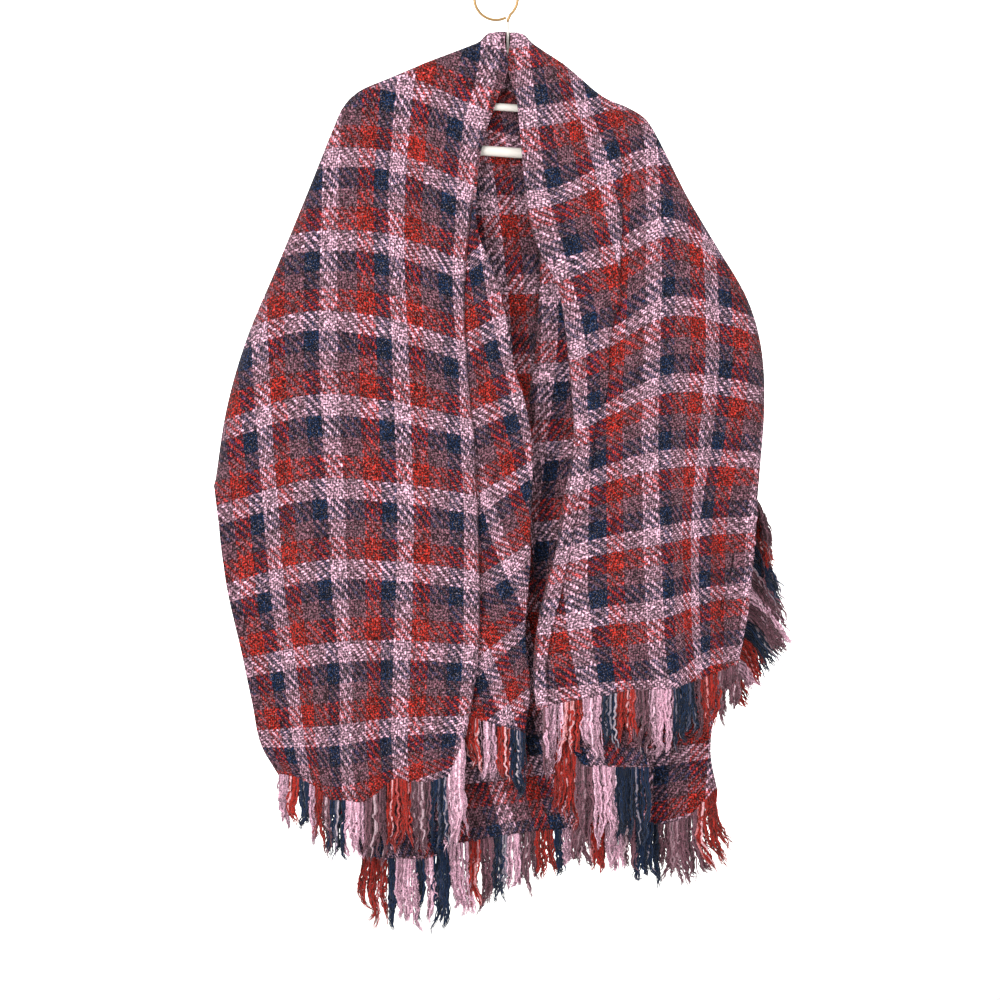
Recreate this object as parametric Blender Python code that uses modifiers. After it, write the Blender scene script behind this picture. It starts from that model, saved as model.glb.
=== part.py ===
"""A handwoven check ruana of two loom widths, hung on a tube hanger.

Each width is one long cloth with a fringe at both ends.  The widths are sewn
together from the nape down the back and stay open in front.  Each one is drawn
here as a front panel and a back panel that meet along the line where the cloth
folds over the hanger.  Sizes below are in millimetres; the front faces -Y, and
the origin is inside the top of the hook, where the hanger is held.
"""

from functools import partial

import bmesh
import bpy
import numpy as np

MM = 0.001

# Cloth
CLOTH_THICK = 3.0  # brushed twill, thick and soft
RIM_GAP = 0.3  # between front and back panels where the cloth folds over
SEAM_HALF_GAP = 0.35  # each side of the centre-back seam

# How far the cloth stands in front of and behind the hanger's plane
STAND_AT_ARMS = 12.0
BELLY = 19.0
BELLY_FROM, BELLY_TO = 150.0, 430.0  # below the hook
ROUND_AT_ARMS, ROUND_LOW = 14.0, 26.0  # radius where the cloth turns over
SLOT_HALF = 3.6  # the slot at the nape that the stem passes
SLOT_FROM, SLOT_TO = 96.0, 135.0  # it closes to the seam over these heights

FOLD_FADE = 90.0  # each fold deepens over this height

TURN_STEPS = 5  # rows of faces in the turn, then rows down to the hem
FRONT_STEPS, BACK_STEPS = 19, 14

# Fringe
FRINGE_THICK = 6.0
FRINGE_GAP = 0.6
TASSEL_PITCH = 24.0
TASSEL_NOTCH = 14.0
SIDE_NOTCH = 0.25  # the same on the side, as a share of the fringe's reach
TASSELS_PER_CELL = 1

# Hanger
STEM_X = 16.0
NECK_Z = -103.0
ARM_REACH, ARM_DROP = 188.0, 86.0
BAR_DROP, BRACE_DROP = 137.0, 75.0
TUBE_RADIUS, BRACE_RADIUS = 7.0, 5.2
TIP_RADIUS, CORNER_RADIUS = 11.0, 15.0
HANGER_TILT = np.radians(4.0)
STEM_RADIUS, WIRE_RADIUS = 2.2, 2.0
STEM_TOP = -62.4
HOOK_RADIUS = 29.5

# Sections of each panel, from the centre to the selvedge: where a section starts on
# the line where the cloth folds over, and where it ends on the hem
LEFT_FRONT_SECTIONS = (
    # fold x z, hem x z
    (4, -77, -42, -1036),
    (-12, -79, -55, -1070),
    (-24, -90, -65, -1088),
    (-50, -99, -84, -1095),
    (-95, -115, -114, -1098),
    (-143, -135, -136, -1093),
    (-185, -153, -158, -1110),
    (-205, -171, -180, -1125),
    (-219, -197, -205, -1123),
    (-257, -292, -227, -1122),
    (-299, -394, -245, -1106),
    (-340, -491, -268, -1093),
    (-368, -588, -283, -1089),
    (-384, -692, -296, -1087),
)
RIGHT_FRONT_SECTIONS = (
    (22, -78, 57, -998),
    (38, -81, 75, -994),
    (52, -92, 95, -989),
    (92, -117, 120, -985),
    (144, -160, 146, -981),
    (181, -177, 170, -976),
    (203, -191, 184, -972),
    (217, -211, 202, -972),
    (230, -236, 220, -972),
    (261, -298, 239, -971),
    (303, -369, 258, -965),
    (343, -438, 280, -957),
    (363, -510, 300, -949),
    (366, -600, 315, -943),
    (355, -713, 329, -937),
)
LEFT_BACK_HEM = (
    # x, z of each section's end; the sections start where the front's do
    (103, -1164),
    (84, -1166),
    (67, -1167),
    (40, -1170),
    (10, -1174),
    (-20, -1180),
    (-46, -1184),
    (-64, -1188),
    (-78, -1198),
    (-92, -1205),
    (-115, -1206),
    (-137, -1205),
    (-160, -1205),
    (-183, -1203),
)
RIGHT_BACK_HEM = (
    (103, -1164),
    (112, -1163),
    (124, -1162),
    (140, -1160),
    (156, -1157),
    (172, -1154),
    (186, -1151),
    (200, -1148),
    (214, -1147),
    (228, -1145),
    (242, -1143),
    (256, -1141),
    (270, -1139),
    (284, -1134),
    (296, -1110),
)

# Lines that run down the cloth, each as z and x
LEFT_LIP = (  # the pleat's edge on the left front
    (-77, 4),
    (-112, 3),
    (-173, -8),
    (-227, -25),
    (-300, -33),
    (-427, -44),
    (-540, -40),
    (-642, -30),
    (-745, -26),
    (-948, -28),
    (-1036, -42),
)
LEFT_INNER_EDGE = (
    (-77, 12),
    (-128, 10),
    (-173, -1),
    (-227, -18),
    (-292, -29),
    (-358, -34),
    (-400, -15),
    (-468, 5),
    (-560, 28),
    (-643, 47),
    (-713, 49),
    (-794, 46),
    (-903, 40),
    (-971, 47),
    (-1032, 40),
)
LEFT_SELVEDGE = (
    (-692, -384),
    (-764, -375),
    (-821, -368),
    (-930, -344),
    (-987, -332),
    (-1054, -316),
    (-1087, -296),
)
RIGHT_ROLL = (  # the rolled inner edge of the right front
    (-78, 22),
    (-122, 24),
    (-162, 29),
    (-237, 35),
    (-305, 42),
    (-359, 54),
    (-424, 86),
    (-476, 95),
    (-555, 103),
    (-607, 107),
    (-646, 105),
    (-737, 88),
    (-781, 83),
    (-830, 69),
    (-876, 59),
    (-971, 53),
    (-998, 57),
)
RIGHT_SELVEDGE = (
    (-713, 355),
    (-777, 351),
    (-832, 347),
    (-884, 340),
    (-937, 329),
)
BACK_SEAM = (
    (-78, 16),
    (-171, 33),
    (-280, 50),
    (-386, 60),
    (-481, 56),
    (-600, 44),
    (-740, 46),
    (-933, 67),
    (-1164, 103),
)
LEFT_BACK_SELVEDGE = (
    (-692, -384),
    (-800, -374),
    (-930, -338),
    (-1060, -270),
    (-1160, -206),
    (-1203, -183),
)
RIGHT_BACK_SELVEDGE = (
    (-713, 355),
    (-780, 351),
    (-835, 347),
    (-910, 341),
    (-971, 332),
    (-1110, 296),
)

# The left front's pleat and the right front's flap, down the cloth
LEFT_PLEAT = (
    # z, turn in degrees, cloth tucked under the lip
    (-250, 0, 1),
    (-300, 90, 1),
    (-350, 180, 1),
    (-430, 180, 30),
    (-540, 180, 60),
    (-640, 180, 60),
    (-850, 180, 40),
    (-950, 180, 25),
    (-1060, 180, 10),
)
LEFT_PLEAT_RADIUS = 5.0
LEFT_INNER_RISE = 28.0  # how much higher the inner part's hem is at the lip
INNER_CORNER_RISE = 4.0  # and at its own corner
INNER_FORWARD = 0.3  # how much of the way forward the inner part comes at its edge
PLEAT_DRIFT = 0.6  # keeps the faces of the turn apart where the pleat begins
LEAST_STRIP = 2.5  # the narrowest the inner part gets, near the neck
RIGHT_FLAP = (
    # z, turn in degrees, width of the flap
    (-78, 35, 6),
    (-290, 40, 6),
    (-375, 180, 8),
    (-470, 180, 90),
    (-570, 180, 135),
    (-998, 180, 142),
)
RIGHT_FLAP_RADIUS = 8.0
RIGHT_FLAP_DROP = 80.0  # how much lower the flap's hem hangs
FLAP_DROP_WITHIN = 60.0

# Soft folds: where each one runs, half its width, and its height (a trough is < 0)
FRONT_FOLDS = (
    # top x z, low x z, half width, height
    (-212, -880, -214, -1400, 13, -6),
    (-150, -830, -151, -1400, 10, -9),
    (-130, -230, -128, -1000, 34, 5),
    (-200, -260, -190, -860, 28, -5),
    (-325, -560, -290, -1400, 24, -6),
    (-290, -420, -262, -1400, 26, 5),
    (-85, -300, -85, -1400, 20, 5),
    (171, -350, 141, -700, 10, -8),
    (264, -700, 292, -1400, 16, -13),
    (205, -320, 200, -1400, 32, 7),
    (120, -560, 110, -1400, 22, 5),
    (30, -60, 60, -420, 24, 7),
)
BACK_FOLDS = (
    (-250, -420, -190, -1400, 30, 9),
    (-170, -380, -110, -1400, 26, -9),
    (-60, -360, -20, -1400, 30, 8),
    (20, -420, 30, -1400, 20, -8),
    (110, -380, 160, -1400, 26, -9),
    (190, -360, 210, -1400, 30, 10),
    (280, -420, 262, -1400, 24, -8),
)

# Fringe of each hem: where along the hem, and how far it hangs there
LEFT_FRINGE = (
    # x, length
    (-298, 80),
    (-264, 68),
    (-240, 74),
    (-216, 92),
    (-190, 80),
    (-148, 100),
    (-90, 96),
    (-66, 118),
    (-40, 130),
)
LEFT_INNER_FRINGE = ((-30, 74), (-12, 84), (14, 74), (44, 110))
RIGHT_FRINGE = (
    (60, 100),
    (88, 66),
    (120, 74),
    (176, 78),
    (222, 94),
    (262, 76),
    (296, 76),
    (330, 56),
)
RIGHT_FOLD_FRINGE = ((70, 110), (96, 104), (140, 112), (200, 112))
LEFT_BACK_FRINGE = (
    (-182, 76),
    (-150, 92),
    (-112, 100),
    (-76, 108),
    (-50, 100),
    (0, 92),
    (50, 78),
    (102, 54),
)
RIGHT_BACK_FRINGE = (
    (104, 54),
    (140, 60),
    (180, 70),
    (200, 100),
    (240, 112),
    (262, 126),
    (284, 122),
    (296, 110),
)
RIGHT_BACK_FAN = 0.15  # how far the outer tassels lean out, as a share of their length
SIDE_FRINGE = (
    # z on the panel's edge, tip x, tip z
    (-746, 374, -756),
    (-790, 388, -806),
    (-850, 400, -872),
    (-910, 404, -918),
    (-962, 366, -968),
)


def clear_scene():
    for obj in list(bpy.data.objects):
        bpy.data.objects.remove(obj, do_unlink=True)


def material(name, colour, roughness, metallic=0.0):
    made = bpy.data.materials.new(name)
    made.use_nodes = True
    shader = made.node_tree.nodes["Principled BSDF"]
    shader.inputs["Base Color"].default_value = (*colour, 1.0)
    shader.inputs["Roughness"].default_value = roughness
    shader.inputs["Metallic"].default_value = metallic
    made.diffuse_color = (*colour, 1.0)
    return made


def rise(value, low, high):
    """0 below low, 1 above high, and smooth between."""
    part = np.clip((np.asarray(value, float) - low) / (high - low), 0.0, 1.0)
    return part * part * (3.0 - 2.0 * part)


def through(knots, values, at):
    """A smooth curve through values that stand at knots, read at each `at`."""
    knots = np.asarray(knots, float)
    values = np.asarray(values, float)
    slopes = np.gradient(values, knots, axis=0)
    at = np.clip(np.asarray(at, float), knots[0], knots[-1])
    i = np.clip(np.searchsorted(knots, at, side="right") - 1, 0, len(knots) - 2)
    span = knots[i + 1] - knots[i]
    s = (at - knots[i]) / span
    if values.ndim > 1:
        span = span[:, None]
        s = s[:, None]
    start = (1 + 2 * s) * (1 - s) ** 2 * values[i] + s * (1 - s) ** 2 * span * slopes[i]
    end = s * s * (3 - 2 * s) * values[i + 1] + s * s * (s - 1) * span * slopes[i + 1]
    return start + end


def inside(x, z, line, side):
    """How far each point lies inside the fold-over line."""
    first, last = line[:-1], line[1:]
    step = last - first
    px = x[:, None] - first[:, 0]
    pz = z[:, None] - first[:, 1]
    along = np.clip((px * step[:, 0] + pz * step[:, 1]) / (step**2).sum(axis=1), 0, 1)
    dx = px - along * step[:, 0]
    dz = pz - along * step[:, 1]
    reach = np.hypot(dx, dz)
    near = reach.argmin(axis=1)
    rows = np.arange(len(x))
    cross = step[near, 0] * pz[rows, near] - step[near, 1] * px[rows, near]
    below = (near == len(step) - 1) & (along[rows, near] >= 1)
    return np.where(below, 1.0, side * np.sign(cross)) * reach[rows, near]


def stand_off(x, z, folds):
    """How far the cloth stands off the hanger's plane, with its soft folds."""
    off = STAND_AT_ARMS + BELLY * rise(-z, BELLY_FROM, BELLY_TO)
    for top_x, top_z, low_x, low_z, half, height in folds:
        part = np.clip((top_z - z) / (top_z - low_z), 0, 1)
        line = top_x + part * (low_x - top_x)
        shape = np.exp(-(((x - line) / half) ** 2))
        off = off + height * shape * rise(top_z - z, 0, FOLD_FADE)
    return off


def turn_radius(z):
    return ROUND_AT_ARMS + (ROUND_LOW - ROUND_AT_ARMS) * rise(-z, BELLY_FROM, BELLY_TO)


def round_off(x, z, behind, line, side, folds):
    """The panel's distance from the hanger's plane, rounded to meet the other panel."""
    least = RIM_GAP / 2 + CLOTH_THICK / 2
    part = np.clip((inside(x, z, line, side) - CLOTH_THICK / 2) / turn_radius(z), 0, 1)
    return least + (stand_off(x, z, folds) - behind - least) * np.sqrt(1 - (1 - part) ** 2)


def read(table, z):
    """The columns of a table at heights z; the table's first column is its own z, going down."""
    data = np.asarray(table, float)
    return through(-data[:, 0], data[:, 1:], -np.asarray(z, float))


def side_line(table, first, last, b):
    """A line of a panel from its start on the fold line to its end on the hem."""
    z = first[1] + b * (last[1] - first[1])
    return np.stack([read(table, z)[:, 0], z], axis=1)


def section_line(i, starts, ends, centre_line, outer_line, b):
    """One section's line: straight, bent to run between the centre line and the outer one."""
    a = i / (len(starts) - 1)
    centre = side_line(centre_line, starts[0], ends[0], b)
    outer = side_line(outer_line, starts[-1], ends[-1], b)
    b = b[:, None]
    straight = (1 - b) * starts[i] + b * ends[i]
    off_centre = centre - (1 - b) * starts[0] - b * ends[0]
    off_outer = outer - (1 - b) * starts[-1] - b * ends[-1]
    return straight + (1 - a) * off_centre + a * off_outer


def stations(line_of, fold, side, main_steps):
    """Where along a section its rows are drawn: close together where it turns over."""
    b = np.linspace(0, 1, 1200)
    x, z = line_of(b).T
    part = (inside(x, z, fold, side) - CLOTH_THICK / 2) / turn_radius(z)
    found = []
    for angle in np.linspace(0, np.pi / 2, TURN_STEPS + 1):
        wanted = 1 - np.cos(angle)
        reached = np.nonzero(part >= wanted)[0][0]
        found.append(b[reached])
    main = np.linspace(found[-1], 1, main_steps + 1)[1:]
    return np.concatenate([found, main])


def column(x, z, behind, fold, side, face, folds):
    """A column of a panel's points, with the first one on the rim between the panels."""
    y = round_off(x, z, behind, fold, side, folds)
    x = np.concatenate([x[:1], x])
    z = np.concatenate([z[:1], z])
    y = np.concatenate([[RIM_GAP / 2], y])
    return np.stack([x, face * y, z], axis=1)


def left_front(fold):
    """The left front: its outer part, the pleat, and the part inside the pleat."""
    data = np.asarray(LEFT_FRONT_SECTIONS, float)
    starts, ends = data[:, :2], data[:, 2:]
    columns = []
    for i in reversed(range(len(starts))):
        line_of = partial(section_line, i, starts, ends, LEFT_LIP, LEFT_SELVEDGE)
        b = stations(line_of, fold, 1, FRONT_STEPS)
        x, z = line_of(b).T
        turn = np.radians(read(LEFT_PLEAT, z)[:, 0])
        if i == 0:
            x = x - LEFT_PLEAT_RADIUS * np.sin(np.minimum(turn, np.pi / 2))
        columns.append(column(x, z, 0.0, fold, 1, -1, FRONT_FOLDS))
    lip_x, lip_z = line_of(b).T
    turn, tuck = read(LEFT_PLEAT, lip_z).T
    turn = np.radians(np.clip(turn, 0, 180))
    radius = LEFT_PLEAT_RADIUS
    start = lip_x - radius * np.sin(np.minimum(turn, np.pi / 2))
    root_z = lip_z + LEFT_INNER_RISE * b**3
    steps = [(s, 0, 0) for s in (0.2, 0.4, 0.6, 0.8, 1.0)] + [(1, 0.5, 0), (1, 1, 0)]
    steps += [(1, 1, s) for s in (0.2, 0.4, 0.6, 0.8, 1.0)]
    for first, run, second in steps:
        x = start + radius * np.sin(turn * first) + run * tuck * np.cos(turn)
        x = x + radius * (np.sin(turn) - np.sin(turn * (1 - second)))
        x = x + PLEAT_DRIFT * (first + second)
        behind = radius * (1 - np.cos(turn * first)) + run * tuck * np.sin(turn)
        behind = behind + radius * (np.cos(turn * (1 - second)) - np.cos(turn))
        z = lip_z + (first + run + second) / 3 * (root_z - lip_z)
        columns.append(column(x, z, behind, fold, 1, -1, FRONT_FOLDS))
    last = np.maximum(read(LEFT_INNER_EDGE, lip_z)[:, 0], x + LEAST_STRIP)
    for share in (0.2, 0.4, 0.6, 0.8, 1.0):
        along = x + share * (last - x)
        shown = np.clip((along - lip_x) / (last - lip_x + 1), 0, 1)
        low = root_z + shown * b**3 * (ends[0, 1] + INNER_CORNER_RISE - root_z[-1])
        under = behind * (1 - INNER_FORWARD * shown)
        columns.append(column(along, low, under, fold, 1, -1, FRONT_FOLDS))
    return np.stack(columns, axis=1)


def right_front(fold):
    """The right front: its outer part, the rolled edge, and the flap behind it."""
    data = np.asarray(RIGHT_FRONT_SECTIONS, float)
    starts, ends = data[:, :2], data[:, 2:]
    radius = RIGHT_FLAP_RADIUS
    columns = []
    for i in reversed(range(len(starts))):
        line_of = partial(section_line, i, starts, ends, RIGHT_ROLL, RIGHT_SELVEDGE)
        b = stations(line_of, fold, -1, FRONT_STEPS)
        x, z = line_of(b).T
        if i == 0:
            turn, flap = read(RIGHT_FLAP, z).T
            turn = np.radians(np.clip(turn, 0, 180))
            x = x + radius * np.sin(np.minimum(turn, np.pi / 2))
            x = x + flap * np.maximum(np.cos(turn), 0)
            start = x
        columns.append(column(x, z, 0.0, fold, -1, -1, FRONT_FOLDS))
    for share in (0.17, 0.34, 0.5, 0.66, 0.83, 1.0):
        x = start - radius * np.sin(turn * share)
        behind = radius * (1 - np.cos(turn * share))
        columns.append(column(x, z, behind, fold, -1, -1, FRONT_FOLDS))
    for share in (0.14, 0.28, 0.42, 0.7, 1.0):
        low = z - RIGHT_FLAP_DROP * b**2 * rise(share * flap, 0, FLAP_DROP_WITHIN)
        along = x - share * flap * np.cos(turn)
        under = behind + share * flap * np.sin(turn)
        columns.append(column(along, low, under, fold, -1, -1, FRONT_FOLDS))
    return np.stack(columns, axis=1)


def back_panel(sections, hem, outer_line, fold, side, fixed=None):
    """A back panel, from the seam to its selvedge.  Fixed gives the seam's rows."""
    starts = np.asarray(sections, float)[:, :2]
    starts[0] = (BACK_SEAM[0][1], BACK_SEAM[0][0])
    ends = np.asarray(hem, float)
    columns = []
    for i in range(len(starts)):
        line_of = partial(section_line, i, starts, ends, BACK_SEAM, outer_line)
        b = stations(line_of, fold, side, BACK_STEPS) if i or fixed is None else fixed
        if i == 0:
            fixed = b
        x, z = line_of(b).T
        if i == 0:
            slot = (SLOT_HALF - SEAM_HALF_GAP) * (1 - rise(-z, SLOT_FROM, SLOT_TO))
            x = x - side * (SEAM_HALF_GAP + slot)
        columns.append(column(x, z, 0.0, fold, side, 1, BACK_FOLDS))
    return np.stack(columns, axis=1), fixed


def surface(name, grid, thick, look, collection):
    """An open surface through a grid of points, given its thickness by Solidify."""
    rows, columns = grid.shape[:2]
    points = (grid.reshape(-1, 3) * MM).tolist()
    faces = []
    for r in range(rows - 1):
        for c in range(columns - 1):
            a = r * columns + c
            faces.append((a, a + 1, a + columns + 1, a + columns))
    mesh = bpy.data.meshes.new(name)
    mesh.from_pydata(points, [], faces)
    mesh.update()
    mesh.materials.append(look)
    obj = bpy.data.objects.new(name, mesh)
    collection.objects.link(obj)
    solid = obj.modifiers.new("Thickness", "SOLIDIFY")
    solid.thickness = thick * MM
    solid.offset = 0.0
    return obj


def fringe(name, hem, lengths, look, collection, fan=0.0):
    """A slab as long as the fringe, notched between tassels, hung below a hem."""
    places = np.asarray(lengths, float)
    at = np.linspace(0, len(hem) - 1, TASSELS_PER_CELL * 2 * (len(hem) - 1) + 1)
    x, y, z = (np.interp(at, np.arange(len(hem)), hem[:, axis]) for axis in range(3))
    length = np.interp(x, *places[places[:, 0].argsort()].T)
    notch = np.where(np.arange(len(x)) % 2 == 0, TASSEL_NOTCH, 0.0)
    grid = []
    for share in (0.0, 1.0):
        drop = FRINGE_GAP + share * length - notch * (share == 1.0)
        spread = fan * share * rise(x, 0.5 * (x.min() + x.max()), x.max()) * length
        grid.append(np.stack([x + spread, y, z - drop], axis=1))
    return surface(name, np.stack(grid), FRINGE_THICK, look, collection)


def side_fringe(name, edge, look, collection):
    """The fringe that shows beyond the right back panel's side edge."""
    edge = edge[np.argsort(edge[:, 2])]
    data = np.asarray(SIDE_FRINGE, float)
    steps = 2 * round((data[0, 0] - data[-1, 0]) / TASSEL_PITCH)
    z = np.linspace(data[0, 0], data[-1, 0], steps + 1)
    x = np.interp(z, edge[:, 2], edge[:, 0]) + 2 * FRINGE_GAP
    y = np.interp(z, edge[:, 2], edge[:, 1])
    tip_x = np.interp(-z, -data[:, 0], data[:, 1])
    tip_z = np.interp(-z, -data[:, 0], data[:, 2])
    notch = np.where(np.arange(len(z)) % 2 == 0, SIDE_NOTCH, 0.0)
    grid = []
    for share in (0.0, 1.0):
        out = share - notch * (share == 1.0)
        grid.append(np.stack([x + out * (tip_x - x), y, z + out * (tip_z - z)], axis=1))
    return surface(name, np.stack(grid), FRINGE_THICK, look, collection)


# --- hanger ---


def rod(name, points, radius, closed=False, sides=2):
    """A round rod along points, as a mesh."""
    curve = bpy.data.curves.new(name, "CURVE")
    curve.dimensions = "3D"
    curve.bevel_depth = radius * MM
    curve.bevel_resolution = sides
    curve.use_fill_caps = not closed
    spline = curve.splines.new("POLY")
    spline.points.add(len(points) - 1)
    for point, (x, y, z) in zip(spline.points, points):
        point.co = (x * MM, y * MM, z * MM, 1.0)
    spline.use_cyclic_u = closed
    guide = bpy.data.objects.new(name + "_guide", curve)
    bpy.context.scene.collection.objects.link(guide)
    graph = bpy.context.evaluated_depsgraph_get()
    mesh = bpy.data.meshes.new_from_object(guide.evaluated_get(graph))
    bpy.data.objects.remove(guide, do_unlink=True)
    mesh.name = name
    return weld(mesh)


def weld(mesh):
    made = bmesh.new()
    made.from_mesh(mesh)
    bmesh.ops.remove_doubles(made, verts=made.verts, dist=1e-6)
    bmesh.ops.recalc_face_normals(made, faces=made.faces)
    made.to_mesh(mesh)
    made.free()
    return mesh


def tilted(x, z):
    """From the hanger's own frame, neck at its origin, to the object's."""
    c, s = np.cos(HANGER_TILT), np.sin(HANGER_TILT)
    return (STEM_X + x * c + z * s, 0.0, NECK_Z - x * s + z * c)


def rounded(corners, radii, steps=6):
    """A closed line with its corners rounded."""
    corners = np.asarray(corners, float)
    line = []
    for i, radius in enumerate(radii):
        here = corners[i]
        back = corners[i - 1] - here
        ahead = corners[(i + 1) % len(corners)] - here
        back = back / np.linalg.norm(back)
        ahead = ahead / np.linalg.norm(ahead)
        half = 0.5 * np.arccos(np.clip(back @ ahead, -1, 1))
        cut = radius / np.tan(half)
        for s in np.linspace(0, 1, steps + 1):
            line.append(here + back * cut * (1 - s) ** 2 + ahead * cut * s**2)
    return line


def hanger_frame(look, collection):
    corners = [(0, 0), (ARM_REACH, -ARM_DROP), (ARM_REACH - 8, -BAR_DROP)]
    corners += [(-ARM_REACH + 8, -BAR_DROP), (-ARM_REACH, -ARM_DROP)]
    radii = (18.0, TIP_RADIUS, CORNER_RADIUS, CORNER_RADIUS, TIP_RADIUS)
    outline = rounded(corners, radii)
    loop = rod("frame_loop", [tilted(x, z) for x, z in outline], TUBE_RADIUS, closed=True, sides=3)
    reach = ARM_REACH * BRACE_DROP / ARM_DROP
    ends = [tilted(-reach, -BRACE_DROP), tilted(reach, -BRACE_DROP)]
    brace = rod("brace", ends, BRACE_RADIUS, sides=3)
    stem = rod("stem", [(STEM_X, 0, STEM_TOP), (STEM_X, 0, NECK_Z - 3)], STEM_RADIUS, sides=3)
    frame = bpy.data.objects.new("hanger_frame", loop)
    frame.data.materials.append(look)
    collection.objects.link(frame)
    for mesh in (brace, stem):
        cutter = bpy.data.objects.new(mesh.name + "_join", mesh)
        cutter.hide_render = True
        cutter.display_type = "WIRE"
        collection.objects.link(cutter)
        join = frame.modifiers.new(mesh.name, "BOOLEAN")
        join.operation = "UNION"
        join.solver = "EXACT"
        join.object = cutter
    return frame


def hanger_hook(look, collection):
    """Wire from the stem up the right side, over the top and round almost to the stem."""
    points = [(STEM_X, 0, STEM_TOP + RIM_GAP), (STEM_X, 0, -57.5), (STEM_X + 2, 0, -53.5)]
    centre = -HOOK_RADIUS + WIRE_RADIUS
    for angle in np.radians(np.arange(-48, 281, 12)):
        points.append((HOOK_RADIUS * np.cos(angle), 0, centre + HOOK_RADIUS * np.sin(angle)))
    mesh = rod("hanger_hook", points, WIRE_RADIUS, sides=2)
    mesh.materials.append(look)
    hook = bpy.data.objects.new("hanger_hook", mesh)
    collection.objects.link(hook)
    return hook


def main():
    clear_scene()
    ruana = bpy.data.collections.new("ruana")
    bpy.context.scene.collection.children.link(ruana)
    plaid = (0.36, 0.15, 0.20)
    looks = {
        name: material(name, colour, 0.95)
        for name, colour in (
            ("cloth_left_front", plaid),
            ("cloth_right_front", plaid),
            ("cloth_left_back", (0.28, 0.11, 0.16)),
            ("cloth_right_back", (0.28, 0.11, 0.16)),
            ("fringe_front", (0.42, 0.18, 0.24)),
            ("fringe_back", (0.32, 0.13, 0.19)),
        )
    }
    left = np.asarray([(18, -78)] + [row[:2] for row in LEFT_FRONT_SECTIONS], float)
    right = np.asarray([(14, -78)] + [row[:2] for row in RIGHT_FRONT_SECTIONS], float)

    grid = left_front(left)
    surface("left_front", grid, CLOTH_THICK, looks["cloth_left_front"], ruana)
    outer = grid[-1, : len(LEFT_FRONT_SECTIONS)]
    fringe("fringe_left_front", outer, LEFT_FRINGE, looks["fringe_front"], ruana)
    fringe("fringe_left_inner", grid[-1, -5:], LEFT_INNER_FRINGE, looks["fringe_front"].copy(), ruana)

    grid = right_front(right)
    surface("right_front", grid, CLOTH_THICK, looks["cloth_right_front"], ruana)
    outer = grid[-1, : len(RIGHT_FRONT_SECTIONS)]
    fringe("fringe_right_front", outer, RIGHT_FRINGE, looks["fringe_front"].copy(), ruana)
    fringe("fringe_right_fold", grid[-1, -5:], RIGHT_FOLD_FRINGE, looks["fringe_front"].copy(), ruana)

    grid, seam = back_panel(LEFT_FRONT_SECTIONS, LEFT_BACK_HEM, LEFT_BACK_SELVEDGE, left, 1)
    surface("left_back", grid, CLOTH_THICK, looks["cloth_left_back"], ruana)
    fringe("fringe_left_back", grid[-1], LEFT_BACK_FRINGE, looks["fringe_back"], ruana)

    grid, seam = back_panel(RIGHT_FRONT_SECTIONS, RIGHT_BACK_HEM, RIGHT_BACK_SELVEDGE, right, -1, seam)
    surface("right_back", grid, CLOTH_THICK, looks["cloth_right_back"], ruana)
    fringe("fringe_right_back", grid[-1], RIGHT_BACK_FRINGE, looks["fringe_back"].copy(), ruana, fan=RIGHT_BACK_FAN)
    side_fringe("fringe_right_side", grid[TURN_STEPS:, -1], looks["fringe_back"].copy(), ruana)

    hanger_frame(material("hanger_plastic", (0.85, 0.80, 0.74), 0.35), ruana)
    hanger_hook(material("hanger_wire", (0.72, 0.50, 0.28), 0.3, 1.0), ruana)


main()
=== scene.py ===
# %% [markdown]
# # A handwoven check ruana on a tube hanger
#
# A ruana is a poncho that is open in front.  This one is two long loom widths of
# brushed wool twill, sewn together from the nape down the back, with the warp ends
# left as fringe on all four hems.  It hangs on a white tube hanger.
#
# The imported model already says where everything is, so each piece below stands
# where a plain solid of it stands.  Sizes are in millimetres and turned to metres
# where a mesh is made.  The front faces -Y, and the origin is inside the top of
# the hanger's hook.

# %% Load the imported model
from functools import partial

import bmesh
import bpy
import numpy as np
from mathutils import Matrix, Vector


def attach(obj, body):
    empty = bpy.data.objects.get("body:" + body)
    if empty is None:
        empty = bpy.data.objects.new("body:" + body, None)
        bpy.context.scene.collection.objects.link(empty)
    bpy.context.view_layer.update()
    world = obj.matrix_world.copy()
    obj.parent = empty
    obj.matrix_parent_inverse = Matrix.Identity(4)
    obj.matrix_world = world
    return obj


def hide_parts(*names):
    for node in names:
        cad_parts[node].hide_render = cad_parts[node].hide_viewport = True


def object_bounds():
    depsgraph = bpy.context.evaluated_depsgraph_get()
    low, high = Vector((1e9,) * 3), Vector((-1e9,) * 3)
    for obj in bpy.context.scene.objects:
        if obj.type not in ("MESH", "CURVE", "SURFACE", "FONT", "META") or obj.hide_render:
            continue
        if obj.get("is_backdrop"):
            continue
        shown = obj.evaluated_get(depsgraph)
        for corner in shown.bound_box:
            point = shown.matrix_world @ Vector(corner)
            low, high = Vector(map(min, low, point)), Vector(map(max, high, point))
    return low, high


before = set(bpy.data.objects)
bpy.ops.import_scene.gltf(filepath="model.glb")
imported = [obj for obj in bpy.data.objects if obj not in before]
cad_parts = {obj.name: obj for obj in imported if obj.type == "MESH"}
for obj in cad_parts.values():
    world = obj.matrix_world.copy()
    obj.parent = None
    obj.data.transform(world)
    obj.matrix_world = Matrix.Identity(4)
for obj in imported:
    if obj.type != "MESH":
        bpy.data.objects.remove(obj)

MM = 0.001
cad_low, cad_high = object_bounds()
print("packed model:", len(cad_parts), "nodes,", np.round((cad_high - cad_low) / MM), "mm")

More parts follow.
